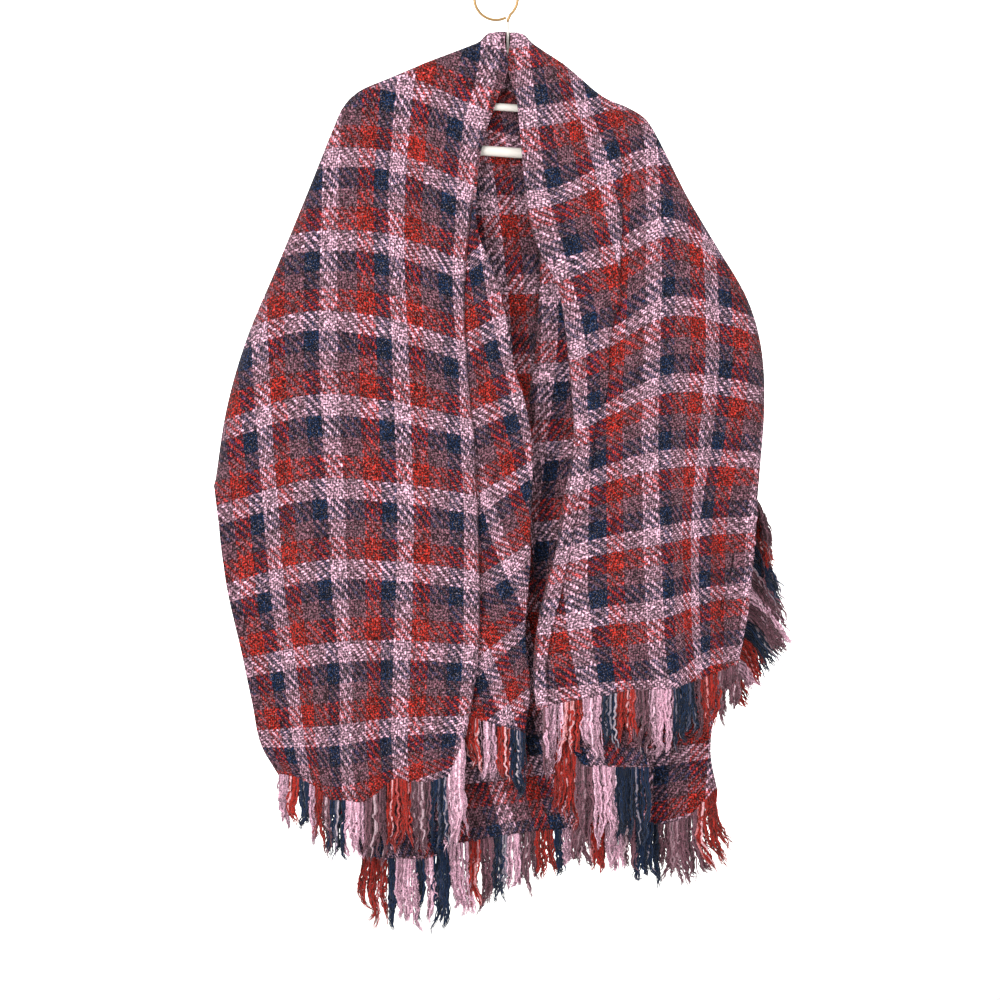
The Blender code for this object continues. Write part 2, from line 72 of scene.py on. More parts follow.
# %% [markdown]
# ## Camera and studio
#
# The garment is seen level and square on.  A long lens far away keeps both hems at
# the same scale.  The floor rises into a backdrop in one pale sweep, so that no
# horizon cuts the view.  The sweep is deep enough for the same camera to stand
# behind the garment.  Large soft lights leave the folds readable.

# %% Helpers for objects, colours and materials
def placed(name, data):
    """A new object in the scene, at the origin and unturned."""
    made = bpy.data.objects.new(name, data)
    bpy.context.scene.collection.objects.link(made)
    return made


def linear(hex_colour):
    """A shader colour from an sRGB hex value such as '#c8a0b4'."""
    parts = [int(hex_colour[i : i + 2], 16) / 255 for i in (1, 3, 5)]
    return tuple(c / 12.92 if c <= 0.04045 else ((c + 0.055) / 1.055) ** 2.4 for c in parts)


def new_material(name, settings):
    """A material with its tree and its shader.  Settings are the shader's inputs by name."""
    made = bpy.data.materials.new(name)
    made.use_nodes = True
    shader = made.node_tree.nodes["Principled BSDF"]
    for label, value in settings.items():
        is_colour = isinstance(value, str)
        shader.inputs[label].default_value = (*linear(value), 1) if is_colour else value
    return made, made.node_tree, shader


# %% Camera
VIEW_WIDTH = 1.36  # metres across the picture at the cloth
VIEW_CENTRE = (0.0054, -0.030, -0.7126)
LENS, SENSOR = 200.0, 36.0

camera_data = bpy.data.cameras.new("camera")
camera_data.lens = LENS
camera_data.sensor_width = SENSOR
camera = placed("camera", camera_data)
camera.location = Vector(VIEW_CENTRE) + Vector((0, -VIEW_WIDTH * LENS / SENSOR, 0))
camera.rotation_euler = (np.pi / 2, 0, 0)
bpy.context.scene.camera = camera
print("camera", round(VIEW_WIDTH * LENS / SENSOR, 2), "m from the cloth")


# %% Floor, backdrop and lights
def area_light(name, place, aim, size, power):
    """A soft white light that faces the point it is aimed at."""
    data = bpy.data.lights.new(name, "AREA")
    data.shape = "RECTANGLE"
    data.size, data.size_y = size
    data.energy = power
    light = placed(name, data)
    light.location = place
    light.rotation_euler = (Vector(aim) - Vector(place)).to_track_quat("-Z", "Y").to_euler()


def sweep(name, low, colour):
    """A floor that curves up into a backdrop, far larger than the view."""
    bend, front, back, side, top = 2.5, -11.0, 10.5, 11.0, 9.0
    line = [(front, low), (back - bend, low)]
    for angle in np.radians(np.arange(10, 91, 10)):
        line.append((back - bend + bend * np.sin(angle), low + bend * (1 - np.cos(angle))))
    line.append((back, top))
    mesh = bpy.data.meshes.new(name)
    points = [(x, y, z) for x in (-side, side) for y, z in line]
    count = len(line)
    mesh.from_pydata(points, [], [(i, i + count, i + count + 1, i + 1) for i in range(count - 1)])
    mesh.shade_smooth()
    # Matt paper on a roll: no gloss at all.
    paper = new_material("backdrop_paper", {"Base Color": colour, "Roughness": 1.0})[0]
    mesh.materials.append(paper)
    floor = placed(name, mesh)
    floor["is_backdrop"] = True


FLOOR_DROP = 0.25  # metres below the lowest tassel
sweep("studio_floor", cad_low.z - FLOOR_DROP, "#fbfaf8")
area_light("key", (-1.5, -3.9, 0.5), (0, 0, -0.65), (1.8, 1.8), 118)
area_light("fill", (2.9, -3.2, -0.2), (0, 0, -0.7), (2.0, 2.4), 34)
area_light("top", (0.2, -0.9, 2.6), (0, 0.1, -0.4), (3.0, 2.0), 40)
area_light("backdrop_wash", (0, 6.5, 5.0), (0, 10.5, -0.4), (9.0, 3.0), 1100)
world = bpy.data.worlds.new("studio")
bpy.context.scene.world = world
world.use_nodes = True
sky = world.node_tree.nodes["Background"].inputs
sky["Color"].default_value = (*linear("#ffffff"), 1)
sky["Strength"].default_value = 0.36
bpy.context.scene.view_settings.view_transform = "Standard"

# %% [markdown]
# ## How the cloth hangs
#
# Each loom width is one long cloth that folds over the hanger, so it shows as a
# front panel and a back panel.  A simulation would settle somewhere of its own, so
# the hang is drawn instead, as a dressmaker would draft it.  A panel is a row of
# sections.  Each section starts on the line where the cloth folds over, ends on the
# hem, and bends with the lines at the panel's two sides.

# %% The lines where the cloth folds over, and the hems
LEFT_FRONT_SECTIONS = (
    # fold x z, hem x z
    (4, -73, -42, -1036),
    (-12, -76, -55, -1070),
    (-24, -87, -65, -1088),
    (-50, -98, -84, -1095),
    (-95, -115, -114, -1098),
    (-143, -135, -136, -1093),
    (-185, -153, -158, -1110),
    (-205, -171, -180, -1125),
    (-219, -197, -205, -1123),
    (-257, -292, -227, -1122),
    (-299, -394, -245, -1106),
    (-340, -491, -268, -1093),
    (-368, -588, -283, -1089),
    (-384, -692, -296, -1087),
)
RIGHT_FRONT_SECTIONS = (
    (22, -74, 57, -998),
    (38, -77, 75, -994),
    (54, -92, 95, -989),
    (92, -117, 120, -985),
    (144, -160, 146, -981),
    (181, -177, 170, -976),
    (203, -191, 184, -972),
    (217, -211, 202, -972),
    (230, -236, 220, -972),
    (261, -298, 239, -971),
    (303, -369, 258, -965),
    (343, -438, 280, -957),
    (363, -510, 300, -949),
    (366, -600, 315, -943),
    (355, -713, 329, -937),
)
LEFT_BACK_HEM = (
    # x, z of each section's end; the sections start where the front's do
    (103, -1164), (84, -1166), (67, -1167), (40, -1170), (10, -1174), (-20, -1180), (-46, -1184),
    (-64, -1188), (-78, -1198), (-92, -1205), (-115, -1206), (-137, -1205), (-160, -1205),
    (-183, -1203),
)
RIGHT_BACK_HEM = (
    (103, -1164), (112, -1163), (124, -1162), (140, -1160), (156, -1157), (172, -1154),
    (186, -1153), (200, -1154), (214, -1157), (228, -1158), (242, -1156), (256, -1152),
    (270, -1143), (286, -1126), (303, -1109),
)
print("sections:", len(LEFT_FRONT_SECTIONS), "left,", len(RIGHT_FRONT_SECTIONS), "right")

# %% Lines that run down the cloth, each as z and x
LEFT_LIP = (  # the pleat's edge on the left front
    (-73, 4), (-112, 3), (-173, -8), (-227, -25), (-300, -33), (-427, -44), (-540, -40),
    (-642, -30), (-745, -26), (-948, -28), (-1036, -42),
)
LEFT_INNER_EDGE = (
    (-73, 13), (-92, 12), (-104, 15), (-125, 16), (-173, -1), (-227, -18), (-292, -27), (-350, -24),
    (-393, -7), (-475, 16), (-529, 24), (-579, 39), (-648, 50), (-700, 49), (-743, 47), (-794, 47),
    (-903, 40), (-971, 47), (-1032, 40),
)
LEFT_SELVEDGE = (
    (-692, -384), (-764, -375), (-821, -368), (-930, -344), (-987, -332), (-1054, -316),
    (-1087, -296),
)
RIGHT_ROLL = (  # the rolled inner edge of the right front
    (-74, 20), (-92, 20), (-104, 17), (-125, 17), (-162, 27), (-237, 35), (-305, 42), (-359, 54),
    (-424, 86), (-476, 95), (-555, 103), (-607, 107), (-646, 105), (-737, 88), (-781, 83),
    (-830, 69), (-876, 59), (-971, 53), (-998, 57),
)
RIGHT_SELVEDGE = ((-713, 355), (-777, 351), (-832, 347), (-884, 340), (-937, 329))
BACK_SEAM = (
    (-72, 16), (-171, 33), (-280, 50), (-386, 60), (-481, 56), (-600, 44), (-740, 46), (-933, 67),
    (-1164, 103),
)
LEFT_BACK_SELVEDGE = (
    (-692, -384), (-800, -374), (-930, -338), (-1060, -270), (-1160, -206), (-1203, -183)
)
RIGHT_BACK_SELVEDGE = (
    (-713, 355), (-780, 351), (-835, 347), (-910, 339), (-971, 318), (-1010, 300), (-1060, 294),
    (-1109, 303),
)

# %% [markdown]
# ## Pleat, rolled edge and folds
#
# The left front has one deep pleat: its lip runs from the neck to the hem and hides
# a hand's width of cloth, and the part inside it shows again beside the opening.
# The right front's inner edge rolls under into a flap that hangs lower than the
# hem.  The other folds are soft troughs and ridges, each with its own line, width
# and depth, and sharper creases are laid over them.

# %% The pleat, the roll and the folds
CLOTH_THICK = 3.0
RIM_GAP = 0.3
SEAM_HALF_GAP = -0.2  # the two widths are sewn edge to edge
SEAM_RIDGE, SEAM_RIDGE_WIDE = 1.6, 5.0
STAND_AT_ARMS, BELLY = 12.0, 19.0  # how far the cloth stands off the hanger's plane
BELLY_FROM, BELLY_TO = 150.0, 430.0
ROUND_AT_ARMS, ROUND_LOW = 14.0, 26.0  # radius where the cloth turns over
NAPE_PUSH, NAPE_HALF, NAPE_LOW = 4.6, 11.0, 150.0  # the nape stands behind the stem
FOLD_FADE = 90.0

LEFT_PLEAT = (
    # z, turn in degrees, cloth tucked under the lip
    (-250, 0, 1), (-300, 90, 1), (-350, 180, 1), (-430, 180, 30), (-540, 180, 60), (-640, 180, 60),
    (-850, 180, 40), (-950, 180, 25), (-1060, 180, 10),
)
LEFT_PLEAT_SHALLOW, LEFT_PLEAT_DEEP = 1.8, 5.0  # radius of its two turns, above and below
PLEAT_DEEPENS, PLEAT_DEEP = 600.0, 710.0
LEFT_INNER_RISE, INNER_CORNER_RISE = 28.0, 4.0
INNER_FORWARD, PLEAT_DRIFT, LEAST_STRIP = (0.85, 0.3), 0.6, 2.5
RIGHT_FLAP = (
    # z, turn in degrees, width of the flap
    (-78, 35, 6), (-290, 40, 6), (-375, 180, 8), (-470, 180, 90), (-570, 180, 135),
    (-998, 180, 142),
)
RIGHT_FLAP_RADIUS, RIGHT_FLAP_DROP, FLAP_DROP_WITHIN = 8.0, 80.0, 60.0
FRONT_FOLDS = (
    # top x z, low x z, half width, height (a trough is below 0)
    (-212, -860, -214, -1400, 10, -8),
    (-196, -860, -190, -1400, 9, 4),
    (-151, -830, -151, -1400, 9, -10),
    (-314, -740, -239, -1107, 16, -8),
    (-130, -230, -128, -1000, 34, 6),
    (-200, -260, -190, -860, 28, -6),
    (-325, -560, -290, -1400, 24, -6),
    (-290, -420, -262, -800, 26, 6),
    (-85, -300, -85, -1400, 20, 5),
    (-60, -110, -95, -330, 16, -5),
    (196, -120, 204, -330, 26, -6),
    (279, -330, 281, -880, 11, 5),
    (304, -330, 300, -880, 13, -8),
    (284, -700, 300, -1010, 10, 5),
    (302, -700, 318, -1010, 9, -9),
    (205, -330, 200, -1400, 30, 7),
    (120, -640, 110, -1400, 22, 5),
    (30, -60, 60, -420, 22, 7),
)
RIGHT_PLEAT = (  # the slanting pleat's edge on the right front, z and x
    (-200, 172), (-271, 171), (-355, 170), (-413, 167), (-446, 167), (-468, 159), (-498, 154),
    (-552, 151), (-569, 149), (-590, 141), (-617, 133), (-668, 127), (-685, 120), (-717, 111),
    (-753, 104), (-812, 93), (-857, 83), (-902, 72), (-950, 67), (-1000, 70),
)
RIGHT_PLEAT_ENDS = (270.0, 345.0, 1010.0, 1090.0)  # it rises from the cloth, and ends past the hem
RIGHT_PLEAT_STEP, RIGHT_PLEAT_UNDER, RIGHT_PLEAT_EASE = (3.2, 3.0), 5.0, 34.0
BACK_FOLDS = (
    (-250, -420, -190, -1400, 30, 9),
    (-170, -380, -110, -1400, 26, -9),
    (-60, -360, -20, -1400, 30, 8),
    (20, -420, 30, -1400, 20, -8),
    (110, -380, 160, -1400, 26, -9),
    (190, -360, 210, -1400, 30, 10),
    (280, -420, 262, -1400, 24, -8),
)
print("folds:", len(FRONT_FOLDS), "in front,", len(BACK_FOLDS), "behind")


# %% Curves through the tables
def rise(value, low, high):
    """0 below low, 1 above high, and smooth between."""
    part = np.clip((np.asarray(value, float) - low) / (high - low), 0.0, 1.0)
    return part * part * (3.0 - 2.0 * part)


def through(knots, values, at):
    """A smooth curve through values that stand at knots, read at each `at`."""
    knots = np.asarray(knots, float)
    values = np.asarray(values, float)
    slopes = np.gradient(values, knots, axis=0)
    at = np.clip(np.asarray(at, float), knots[0], knots[-1])
    i = np.clip(np.searchsorted(knots, at, side="right") - 1, 0, len(knots) - 2)
    span = knots[i + 1] - knots[i]
    s = (at - knots[i]) / span
    if values.ndim > 1:
        span, s = span[:, None], s[:, None]
    start = (1 + 2 * s) * (1 - s) ** 2 * values[i] + s * (1 - s) ** 2 * span * slopes[i]
    end = s * s * (3 - 2 * s) * values[i + 1] + s * s * (s - 1) * span * slopes[i + 1]
    return start + end


def read(table, z):
    """The columns of a table at heights z; its first column is its own z, going down."""
    data = np.asarray(table, float)
    return through(-data[:, 0], data[:, 1:], -np.asarray(z, float))


def finer(table, steps):
    """A table's rows with more rows between them, on smooth curves."""
    at = np.linspace(0, len(table) - 1, steps * (len(table) - 1) + 1)
    return through(np.arange(len(table)), np.asarray(table, float), at)


# %% Distance inside the fold line, and how far the cloth stands off
def inside(x, z, line, side):
    """How far each point lies inside the fold-over line."""
    first, last = line[:-1], line[1:]
    step = last - first
    px = x[:, None] - first[:, 0]
    pz = z[:, None] - first[:, 1]
    along = np.clip((px * step[:, 0] + pz * step[:, 1]) / (step**2).sum(axis=1), 0, 1)
    reach = np.hypot(px - along * step[:, 0], pz - along * step[:, 1])
    near = reach.argmin(axis=1)
    rows = np.arange(len(x))
    cross = step[near, 0] * pz[rows, near] - step[near, 1] * px[rows, near]
    below = (near == len(step) - 1) & (along[rows, near] >= 1)
    return np.where(below, 1.0, side * np.sign(cross)) * reach[rows, near]


def stand_off(x, z, folds):
    """How far the cloth stands off the hanger's plane, with its soft folds."""
    off = STAND_AT_ARMS + BELLY * rise(-z, BELLY_FROM, BELLY_TO)
    for top_x, top_z, low_x, low_z, half, height in folds:
        part = np.clip((top_z - z) / (top_z - low_z), 0, 1)
        line = top_x + part * (low_x - top_x)
        shape = np.exp(-(((x - line) / half) ** 2)) * rise(top_z - z, 0, FOLD_FADE)
        off = off + height * shape * rise(z - low_z, -FOLD_FADE, 0)
    return off


def turn_radius(z):
    return ROUND_AT_ARMS + (ROUND_LOW - ROUND_AT_ARMS) * rise(-z, BELLY_FROM, BELLY_TO)


def round_off(x, z, behind, line, side, folds):
    """A panel's distance from the hanger's plane, rounded to meet the other panel."""
    least = RIM_GAP / 2 + CLOTH_THICK / 2
    part = np.clip((inside(x, z, line, side) - CLOTH_THICK / 2) / turn_radius(z), 0, 1)
    return least + (stand_off(x, z, folds) - behind - least) * np.sqrt(1 - (1 - part) ** 2)


# %% Sections and columns
TURN_STEPS, MAIN_STEPS = 9, 120
ACROSS = 7  # columns between one section of the tables and the next
# Columns round each turn of the pleat, across the cloth it tucks away and across the
# strip beside the opening; then round the rolled edge and across its flap.
PLEAT_TURN, PLEAT_TUCK, INNER_STRIP = 10, 8, 30
ROLL_TURN, ROLL_FLAP = 14, 28


def shares(count):
    """Even steps from 0 to 1, without the 0."""
    return np.linspace(0, 1, count + 1)[1:]


def side_line(table, first, last, b):
    """A line of a panel from its start on the fold line to its end on the hem."""
    z = first[1] + b * (last[1] - first[1])
    return np.stack([read(table, z)[:, 0], z], axis=1)


def section_line(i, starts, ends, centre_line, outer_line, b):
    """One section's line: straight, bent to run between the centre line and the outer one."""
    a = i / (len(starts) - 1)
    centre = side_line(centre_line, starts[0], ends[0], b)
    outer = side_line(outer_line, starts[-1], ends[-1], b)
    b = b[:, None]
    straight = (1 - b) * starts[i] + b * ends[i]
    off_centre = centre - (1 - b) * starts[0] - b * ends[0]
    off_outer = outer - (1 - b) * starts[-1] - b * ends[-1]
    return straight + (1 - a) * off_centre + a * off_outer


def stations(line_of, fold, side):
    """Where along a section its rows are drawn: close together where it turns over."""
    b = np.linspace(0, 1, 1200)
    x, z = line_of(b).T
    part = (inside(x, z, fold, side) - CLOTH_THICK / 2) / turn_radius(z)
    wanted = 1 - np.cos(np.linspace(0, np.pi / 2, TURN_STEPS + 1))
    found = [b[np.nonzero(part >= share)[0][0]] for share in wanted]
    return np.concatenate([found, np.linspace(found[-1], 1, MAIN_STEPS + 1)[1:]])


def column(x, z, behind, fold, side, face, folds):
    """A column of a panel's points, with the first one on the rim between the panels."""
    y = round_off(x, z, behind, fold, side, folds)
    x, z = np.concatenate([x[:1], x]), np.concatenate([z[:1], z])
    y = np.concatenate([[RIM_GAP / 2], y])
    return np.stack([x, face * y, z], axis=1)


# %% [markdown]
# ## Following the weave
#
# Each panel has a table of where its threads cross. A row of it is one navy weft
# stripe, and its columns are warp ends counted in millimetres from the selvedge.
# Reading the table backwards gives every point of the mesh its place in the weave.

# %% Where the threads cross
CHECK_WIDE, CHECK_LONG = 98.0, 109.0  # one repeat across and along the weave
FIRST_NAVY = 57.0  # from the outer selvedge to the first navy warp stripe

LEFT_THREADS = (0, 155, 253)
LEFT_WEAVE = (
    # row, then x z at each of the threads, x z at the lip, and the thread at the lip
    (-1, -396, 49, -239, 49, -135, 49, 4, -3, 384),
    (0, -396, -101, -242, -60, -141, -60, 3, -112, 384),
    (1, -397, -209, -243, -165, -148, -169, -25, -222, 384),
    (2, -398, -318, -246, -277, -156, -276, -34, -322, 384),
    (3, -400, -430, -250, -389, -155, -393, -45, -428, 378),
    (4, -393, -540, -252, -496, -151, -507, -40, -539, 374),
    (5, -384, -651, -248, -613, -147, -619, -30, -641, 381),
    (6, -374, -760, -240, -726, -144, -730, -26, -745, 381),
    (7, -363, -865, -233, -835, -146, -835, -26, -847, 381),
    (8, -341, -968, -221, -949, -150, -944, -28, -948, 381),
    (9, -313, -1062, -220, -1061, -151, -1049, -32, -1040, 388),
    (9.5, -295, -1088, -215, -1122, -147, -1096, -38, -1062, 388),
)
LEFT_INNER_WEAVE = (
    # row, then x z and the thread at the pleat's root, and at the inner edge
    (2, -38, -322, 640, -28, -310, 655),
    (3, -45, -418, 622, -14, -400, 660),
    (4, -39, -526, 602, 14, -502, 669),
    (5, -30, -630, 582, 44, -600, 672),
    (6, -26, -751, 538, 48, -695, 653),
    (7, -26, -858, 499, 45, -816, 588),
    (8, -27, -971, 437, 46, -903, 554),
    (8.6, -38, -1030, 400, 48, -963, 531),
    (9.2, -40, -1095, 380, 42, -1034, 490),
)
RIGHT_THREADS = (0, 57, 155, 253)
RIGHT_WEAVE = (
    # row, then x z at each of the threads, x z at the roll, and the thread there
    (-1, 265, -60, 215, -40, 160, -20, 80, -5, 20, 45, 386),
    (0, 290, -125, 245, -100, 190, -80, 94, -53, 22, -57, 386),
    (1, 318, -205, 276, -185, 215, -160, 128, -152, 29, -165, 386),
    (2, 340, -290, 292, -262, 226, -222, 159, -235, 38, -280, 386),
    (3, 352, -375, 303, -354, 234, -314, 152, -350, 60, -378, 330),
    (4, 360, -457, 311, -437, 235, -423, 146, -472, 92, -488, 305),
    (5, 362, -547, 312, -534, 233, -529, 140, -574, 105, -590, 290),
    (6, 352, -639, 301, -632, 230, -632, 140, -656, 105, -669, 288),
    (7, 337, -724, 285, -726, 233, -734, 140, -753, 87, -767, 292),
    (8, 332, -815, 281, -821, 237, -832, 141, -846, 64, -860, 310),
    (9, 326, -900, 283, -908, 243, -933, 150, -947, 54, -957, 335),
    (9.35, 322, -930, 284, -940, 250, -970, 155, -982, 54, -998, 348),
)
STRIP_THREADS = (253, 351)
STRIP_WEAVE = (  # the cloth that lies on the slanting pleat, read in the same way
    (-1, 80, -5, 40, 45, 20, 45, 386),
    (0, 94, -53, 49, -53, 22, -57, 386),
    (1, 128, -152, 63, -159, 29, -165, 386),
    (2, 159, -235, 80, -275, 38, -280, 386),
    (3, 182, -345, 107, -364, 56, -378, 386),
    (4, 208, -450, 129, -472, 95, -488, 386),
    (5, 213, -560, 133, -579, 105, -590, 386),
    (6, 218, -650, 136, -662, 105, -669, 386),
    (7, 205, -750, 122, -760, 87, -767, 386),
    (8, 180, -850, 98, -856, 64, -860, 386),
    (9, 170, -948, 88, -954, 54, -957, 386),
)
LEFT_BACK_THREADS, RIGHT_BACK_THREADS = (310, 500), (60, 200)
LEFT_BACK_WEAVE = (
    # row, then x z at each of the threads, x z at the seam, and the thread at the seam
    (0, -405, -30, -215, -20, 20, -125, 731),
    (1, -388, -180, -198, -155, 36, -207, 731),
    (2, -370, -330, -180, -290, 50, -280, 731),
    (4, -345, -545, -150, -505, 56, -498, 716),
    (6, -330, -740, -150, -715, 46, -716, 702),
    (8, -275, -940, -105, -935, 57, -934, 683),
    (10.1, -191, -1202, -36, -1190, 103, -1164, 666),
)
RIGHT_BACK_WEAVE = (
    (0, 385, -60, 235, -60, 14, -62, 415),
    (2, 385, -290, 240, -280, 45, -280, 400),
    (4, 375, -500, 235, -490, 56, -498, 392),
    (6, 350, -715, 205, -700, 46, -716, 378),
    (8, 330, -940, 190, -920, 57, -934, 340),
    (10.1, 318, -1112, 180, -1150, 103, -1164, 285),
)
RIGHT_BACK_SHIFT = 0.37  # its navy weft stripes lie this share of a repeat off


# %% Reading the weave backwards
def stretched(knots, values, at):
    """A smooth curve through a few knots, straight beyond its ends."""
    order = np.argsort(knots)
    knots, values = np.asarray(knots)[order], np.asarray(values)[order]
    slope = np.gradient(values, knots)
    low = np.minimum(at - knots[0], 0) * slope[0]
    high = np.maximum(at - knots[-1], 0) * slope[-1]
    return through(knots, values, at) + low + high


def between(levels, values, at):
    """For each point, its value where `at` falls among its own falling levels."""
    i = np.clip((levels >= at).sum(axis=0) - 1, 0, len(levels) - 2)
    k = np.arange(len(at))
    part = (levels[i, k] - at) / (levels[i, k] - levels[i + 1, k])
    return values[i, k] + part * (values[i + 1, k] - values[i, k])


def weave_at(x, z, rows, xs, zs, threads):
    """The thread and the row of the weave at each point (x, z) of a hanging panel."""
    shape = x.shape
    x, z = x.ravel(), z.ravel()
    heights = np.stack([stretched(row_x, row_z, x) for row_x, row_z in zip(xs, zs)])
    row = between(heights, np.repeat(rows[:, None], len(x), axis=1), z)
    lines = np.stack([stretched(rows, xs[:, c], row) for c in range(xs.shape[1])])
    ends = np.stack([stretched(rows, threads[:, c], row) for c in range(xs.shape[1])])
    if lines[0].mean() < lines[-1].mean():
        lines, ends = lines[::-1], ends[::-1]
    return between(lines, ends, x).reshape(shape), row.reshape(shape)


def read_weave(x, z, table, threads):
    """weave_at for a table of rows whose last column may be the last thread's own number."""
    data = np.asarray(table, float)
    pairs = (data.shape[1] - 1) // 2
    xs, zs = data[:, 1 : 2 * pairs : 2], data[:, 2 : 2 * pairs + 1 : 2]
    ends = np.repeat(np.asarray(threads, float)[None], len(data), axis=0)
    if pairs > len(threads):
        ends = np.hstack([ends, data[:, -1:]])
    return weave_at(x, z, data[:, 0], xs, zs, ends)


def read_inner_weave(x, z, table):
    """weave_at for the part inside the pleat, whose two edges both name their threads."""
    data = np.asarray(table, float)
    return weave_at(x, z, data[:, 0], data[:, (1, 4)], data[:, (2, 5)], data[:, (3, 6)])


test = read_weave(np.array([-147.0]), np.array([-619.0]), LEFT_WEAVE, LEFT_THREADS)
print("thread and row at a known crossing (253, 5):", np.round(test, 2).ravel())

# %% [markdown]
# ## The four panels
#
# Each panel is an open sheet of points that a Solidify modifier gives its
# thickness, so that both faces and the cut edge are there.  The place of every
# point in the weave is kept as a UV map, counted in repeats of the check.  The two
# widths are one cloth turned end for end, so the right front and the left back read
# the weft stripes from the other end.

# %% Helpers for the sheets
HEMS = {}  # the points that each fringe hangs from


def to_repeats(thread, row, direction, shift=0.0):
    """UV coordinates in repeats of the check, 0 at a navy stripe both ways."""
    return np.stack([(thread - FIRST_NAVY) / CHECK_WIDE, direction * row + shift], axis=-1)


def sheet(name, grid, weave):
    """An open sheet through a grid of points, with its weave as a UV map."""
    rows, columns = grid.shape[:2]
    index = np.arange(rows * columns).reshape(rows, columns)
    faces = np.stack(
        [index[:-1, :-1], index[:-1, 1:], index[1:, 1:], index[1:, :-1]], axis=-1
    ).reshape(-1, 4)
    mesh = bpy.data.meshes.new(name)
    mesh.from_pydata((grid.reshape(-1, 3) * MM).tolist(), [], faces.tolist())
    layer = mesh.uv_layers.new(name="weave")
    layer.data.foreach_set("uv", weave.reshape(-1, 2)[faces.ravel()].ravel())
    mesh.shade_smooth()
    made = placed(name, mesh)
    solid = made.modifiers.new("thickness", "SOLIDIFY")
    solid.thickness = CLOTH_THICK * MM
    solid.offset = 0.0
    return made


def area_of(grid):
    """The area of a sheet of points, in square metres."""
    a, b = grid[1:, :-1] - grid[:-1, :-1], grid[:-1, 1:] - grid[:-1, :-1]
    return np.linalg.norm(np.cross(a, b), axis=-1).sum() * MM * MM


# %% [markdown]
# ### Left front
#
# Its outer part is plain.  At the lip the cloth turns under on a small radius, runs
# back behind itself, turns again at the pleat's root and comes out beside the
# opening.  Near the neck the pleat has not begun and the turn has no width.

# %% Left front
PLEAT_BEGINS, PLEAT_WHOLE = 285.0, 322.0
LEFT_NAPE, RIGHT_NAPE = (18, -72.5), (14, -72.5)  # where each fold-over line begins, x and z


def pleat_radius(z):
    deeper = rise(-z, PLEAT_DEEPENS, PLEAT_DEEP)
    return LEFT_PLEAT_SHALLOW + deeper * (LEFT_PLEAT_DEEP - LEFT_PLEAT_SHALLOW)


def left_front(fold, sections):
    starts, ends = sections[:, :2], sections[:, 2:]
    laid = partial(column, fold=fold, side=1, face=-1, folds=FRONT_FOLDS)
    columns = []
    for i in reversed(range(len(starts))):
        line_of = partial(section_line, i, starts, ends, LEFT_LIP, LEFT_SELVEDGE)
        b = stations(line_of, fold, 1)
        x, z = line_of(b).T
        turn = np.radians(read(LEFT_PLEAT, z)[:, 0])
        if i == 0:
            x = x - pleat_radius(z) * np.sin(np.clip(turn, 0, np.pi / 2))
        columns.append(laid(x, z, 0.0))
    outer = len(columns)
    lip_x, lip_z = line_of(b).T
    turn, tuck = read(LEFT_PLEAT, lip_z).T
    turn = np.radians(np.clip(turn, 0, 180))
    radius = pleat_radius(lip_z)
    start = lip_x - radius * np.sin(np.minimum(turn, np.pi / 2))
    root_z = lip_z + LEFT_INNER_RISE * b**3
    arc = shares(PLEAT_TURN)
    steps = [(s, 0, 0) for s in arc] + [(1, s, 0) for s in shares(PLEAT_TUCK)]
    steps += [(1, 1, s) for s in arc]
    for first, run, second in steps:
        x = start + radius * np.sin(turn * first) + run * tuck * np.cos(turn)
        x = x + radius * (np.sin(turn) - np.sin(turn * (1 - second)))
        x = x + PLEAT_DRIFT * (first + second)
        behind = radius * (1 - np.cos(turn * first)) + run * tuck * np.sin(turn)
        behind = behind + radius * (np.cos(turn * (1 - second)) - np.cos(turn))
        z = lip_z + (first + run + second) / 3 * (root_z - lip_z)
        columns.append(laid(x, z, behind))
    last = np.maximum(read(LEFT_INNER_EDGE, lip_z)[:, 0], x + LEAST_STRIP)
    for share in shares(INNER_STRIP):
        along = x + share * (last - x)
        shown = np.clip((along - lip_x) / (last - lip_x + 1), 0, 1)
        low = root_z + shown * b**3 * (ends[0, 1] + INNER_CORNER_RISE - root_z[-1])
        shallow, deep = INNER_FORWARD
        forward = shallow + (deep - shallow) * rise(-lip_z, PLEAT_DEEPENS, PLEAT_DEEP)
        under = behind * (1 - forward * (1 - (1 - shown) ** 2))
        columns.append(laid(along, low, under))
    grid = np.stack(columns, axis=1)
    strip = outer + len(steps)

    thread, row = read_weave(grid[..., 0], grid[..., 2], LEFT_WEAVE, LEFT_THREADS)
    inner = read_inner_weave(grid[:, strip:, 0], grid[:, strip:, 2], LEFT_INNER_WEAVE)
    pleated = rise(-grid[:, strip:, 2], PLEAT_BEGINS, PLEAT_WHOLE)
    thread[:, strip:] += pleated * (inner[0] - thread[:, strip:])
    row[:, strip:] += pleated * (inner[1] - row[:, strip:])
    share = np.linspace(0, 1, strip - outer + 2)[1:-1]
    for values in (thread, row):
        first, second = values[:, outer - 1, None], values[:, strip, None]
        values[:, outer:strip] = first + share * (second - first)
    HEMS["fringe_left_front"] = grid[-1, :outer]
    HEMS["fringe_left_inner"] = grid[-1, strip:]
    return grid, to_repeats(thread, row, 1)


left_sections = finer(LEFT_FRONT_SECTIONS, ACROSS)
left_fold = np.vstack([LEFT_NAPE, left_sections[:, :2]])
grid, weave = left_front(left_fold, left_sections)
left_front_area = area_of(grid)
cloth_left_front = sheet("cloth_left_front", grid, weave)
print("left front:", grid.shape[:2], "points,", round(left_front_area, 3), "m2")

# %% [markdown]
# ### Right front
#
# Its inner edge rolls back under itself.  Low down the roll carries a flap as wide
# as a hand, whose hem swings lower than the front's.

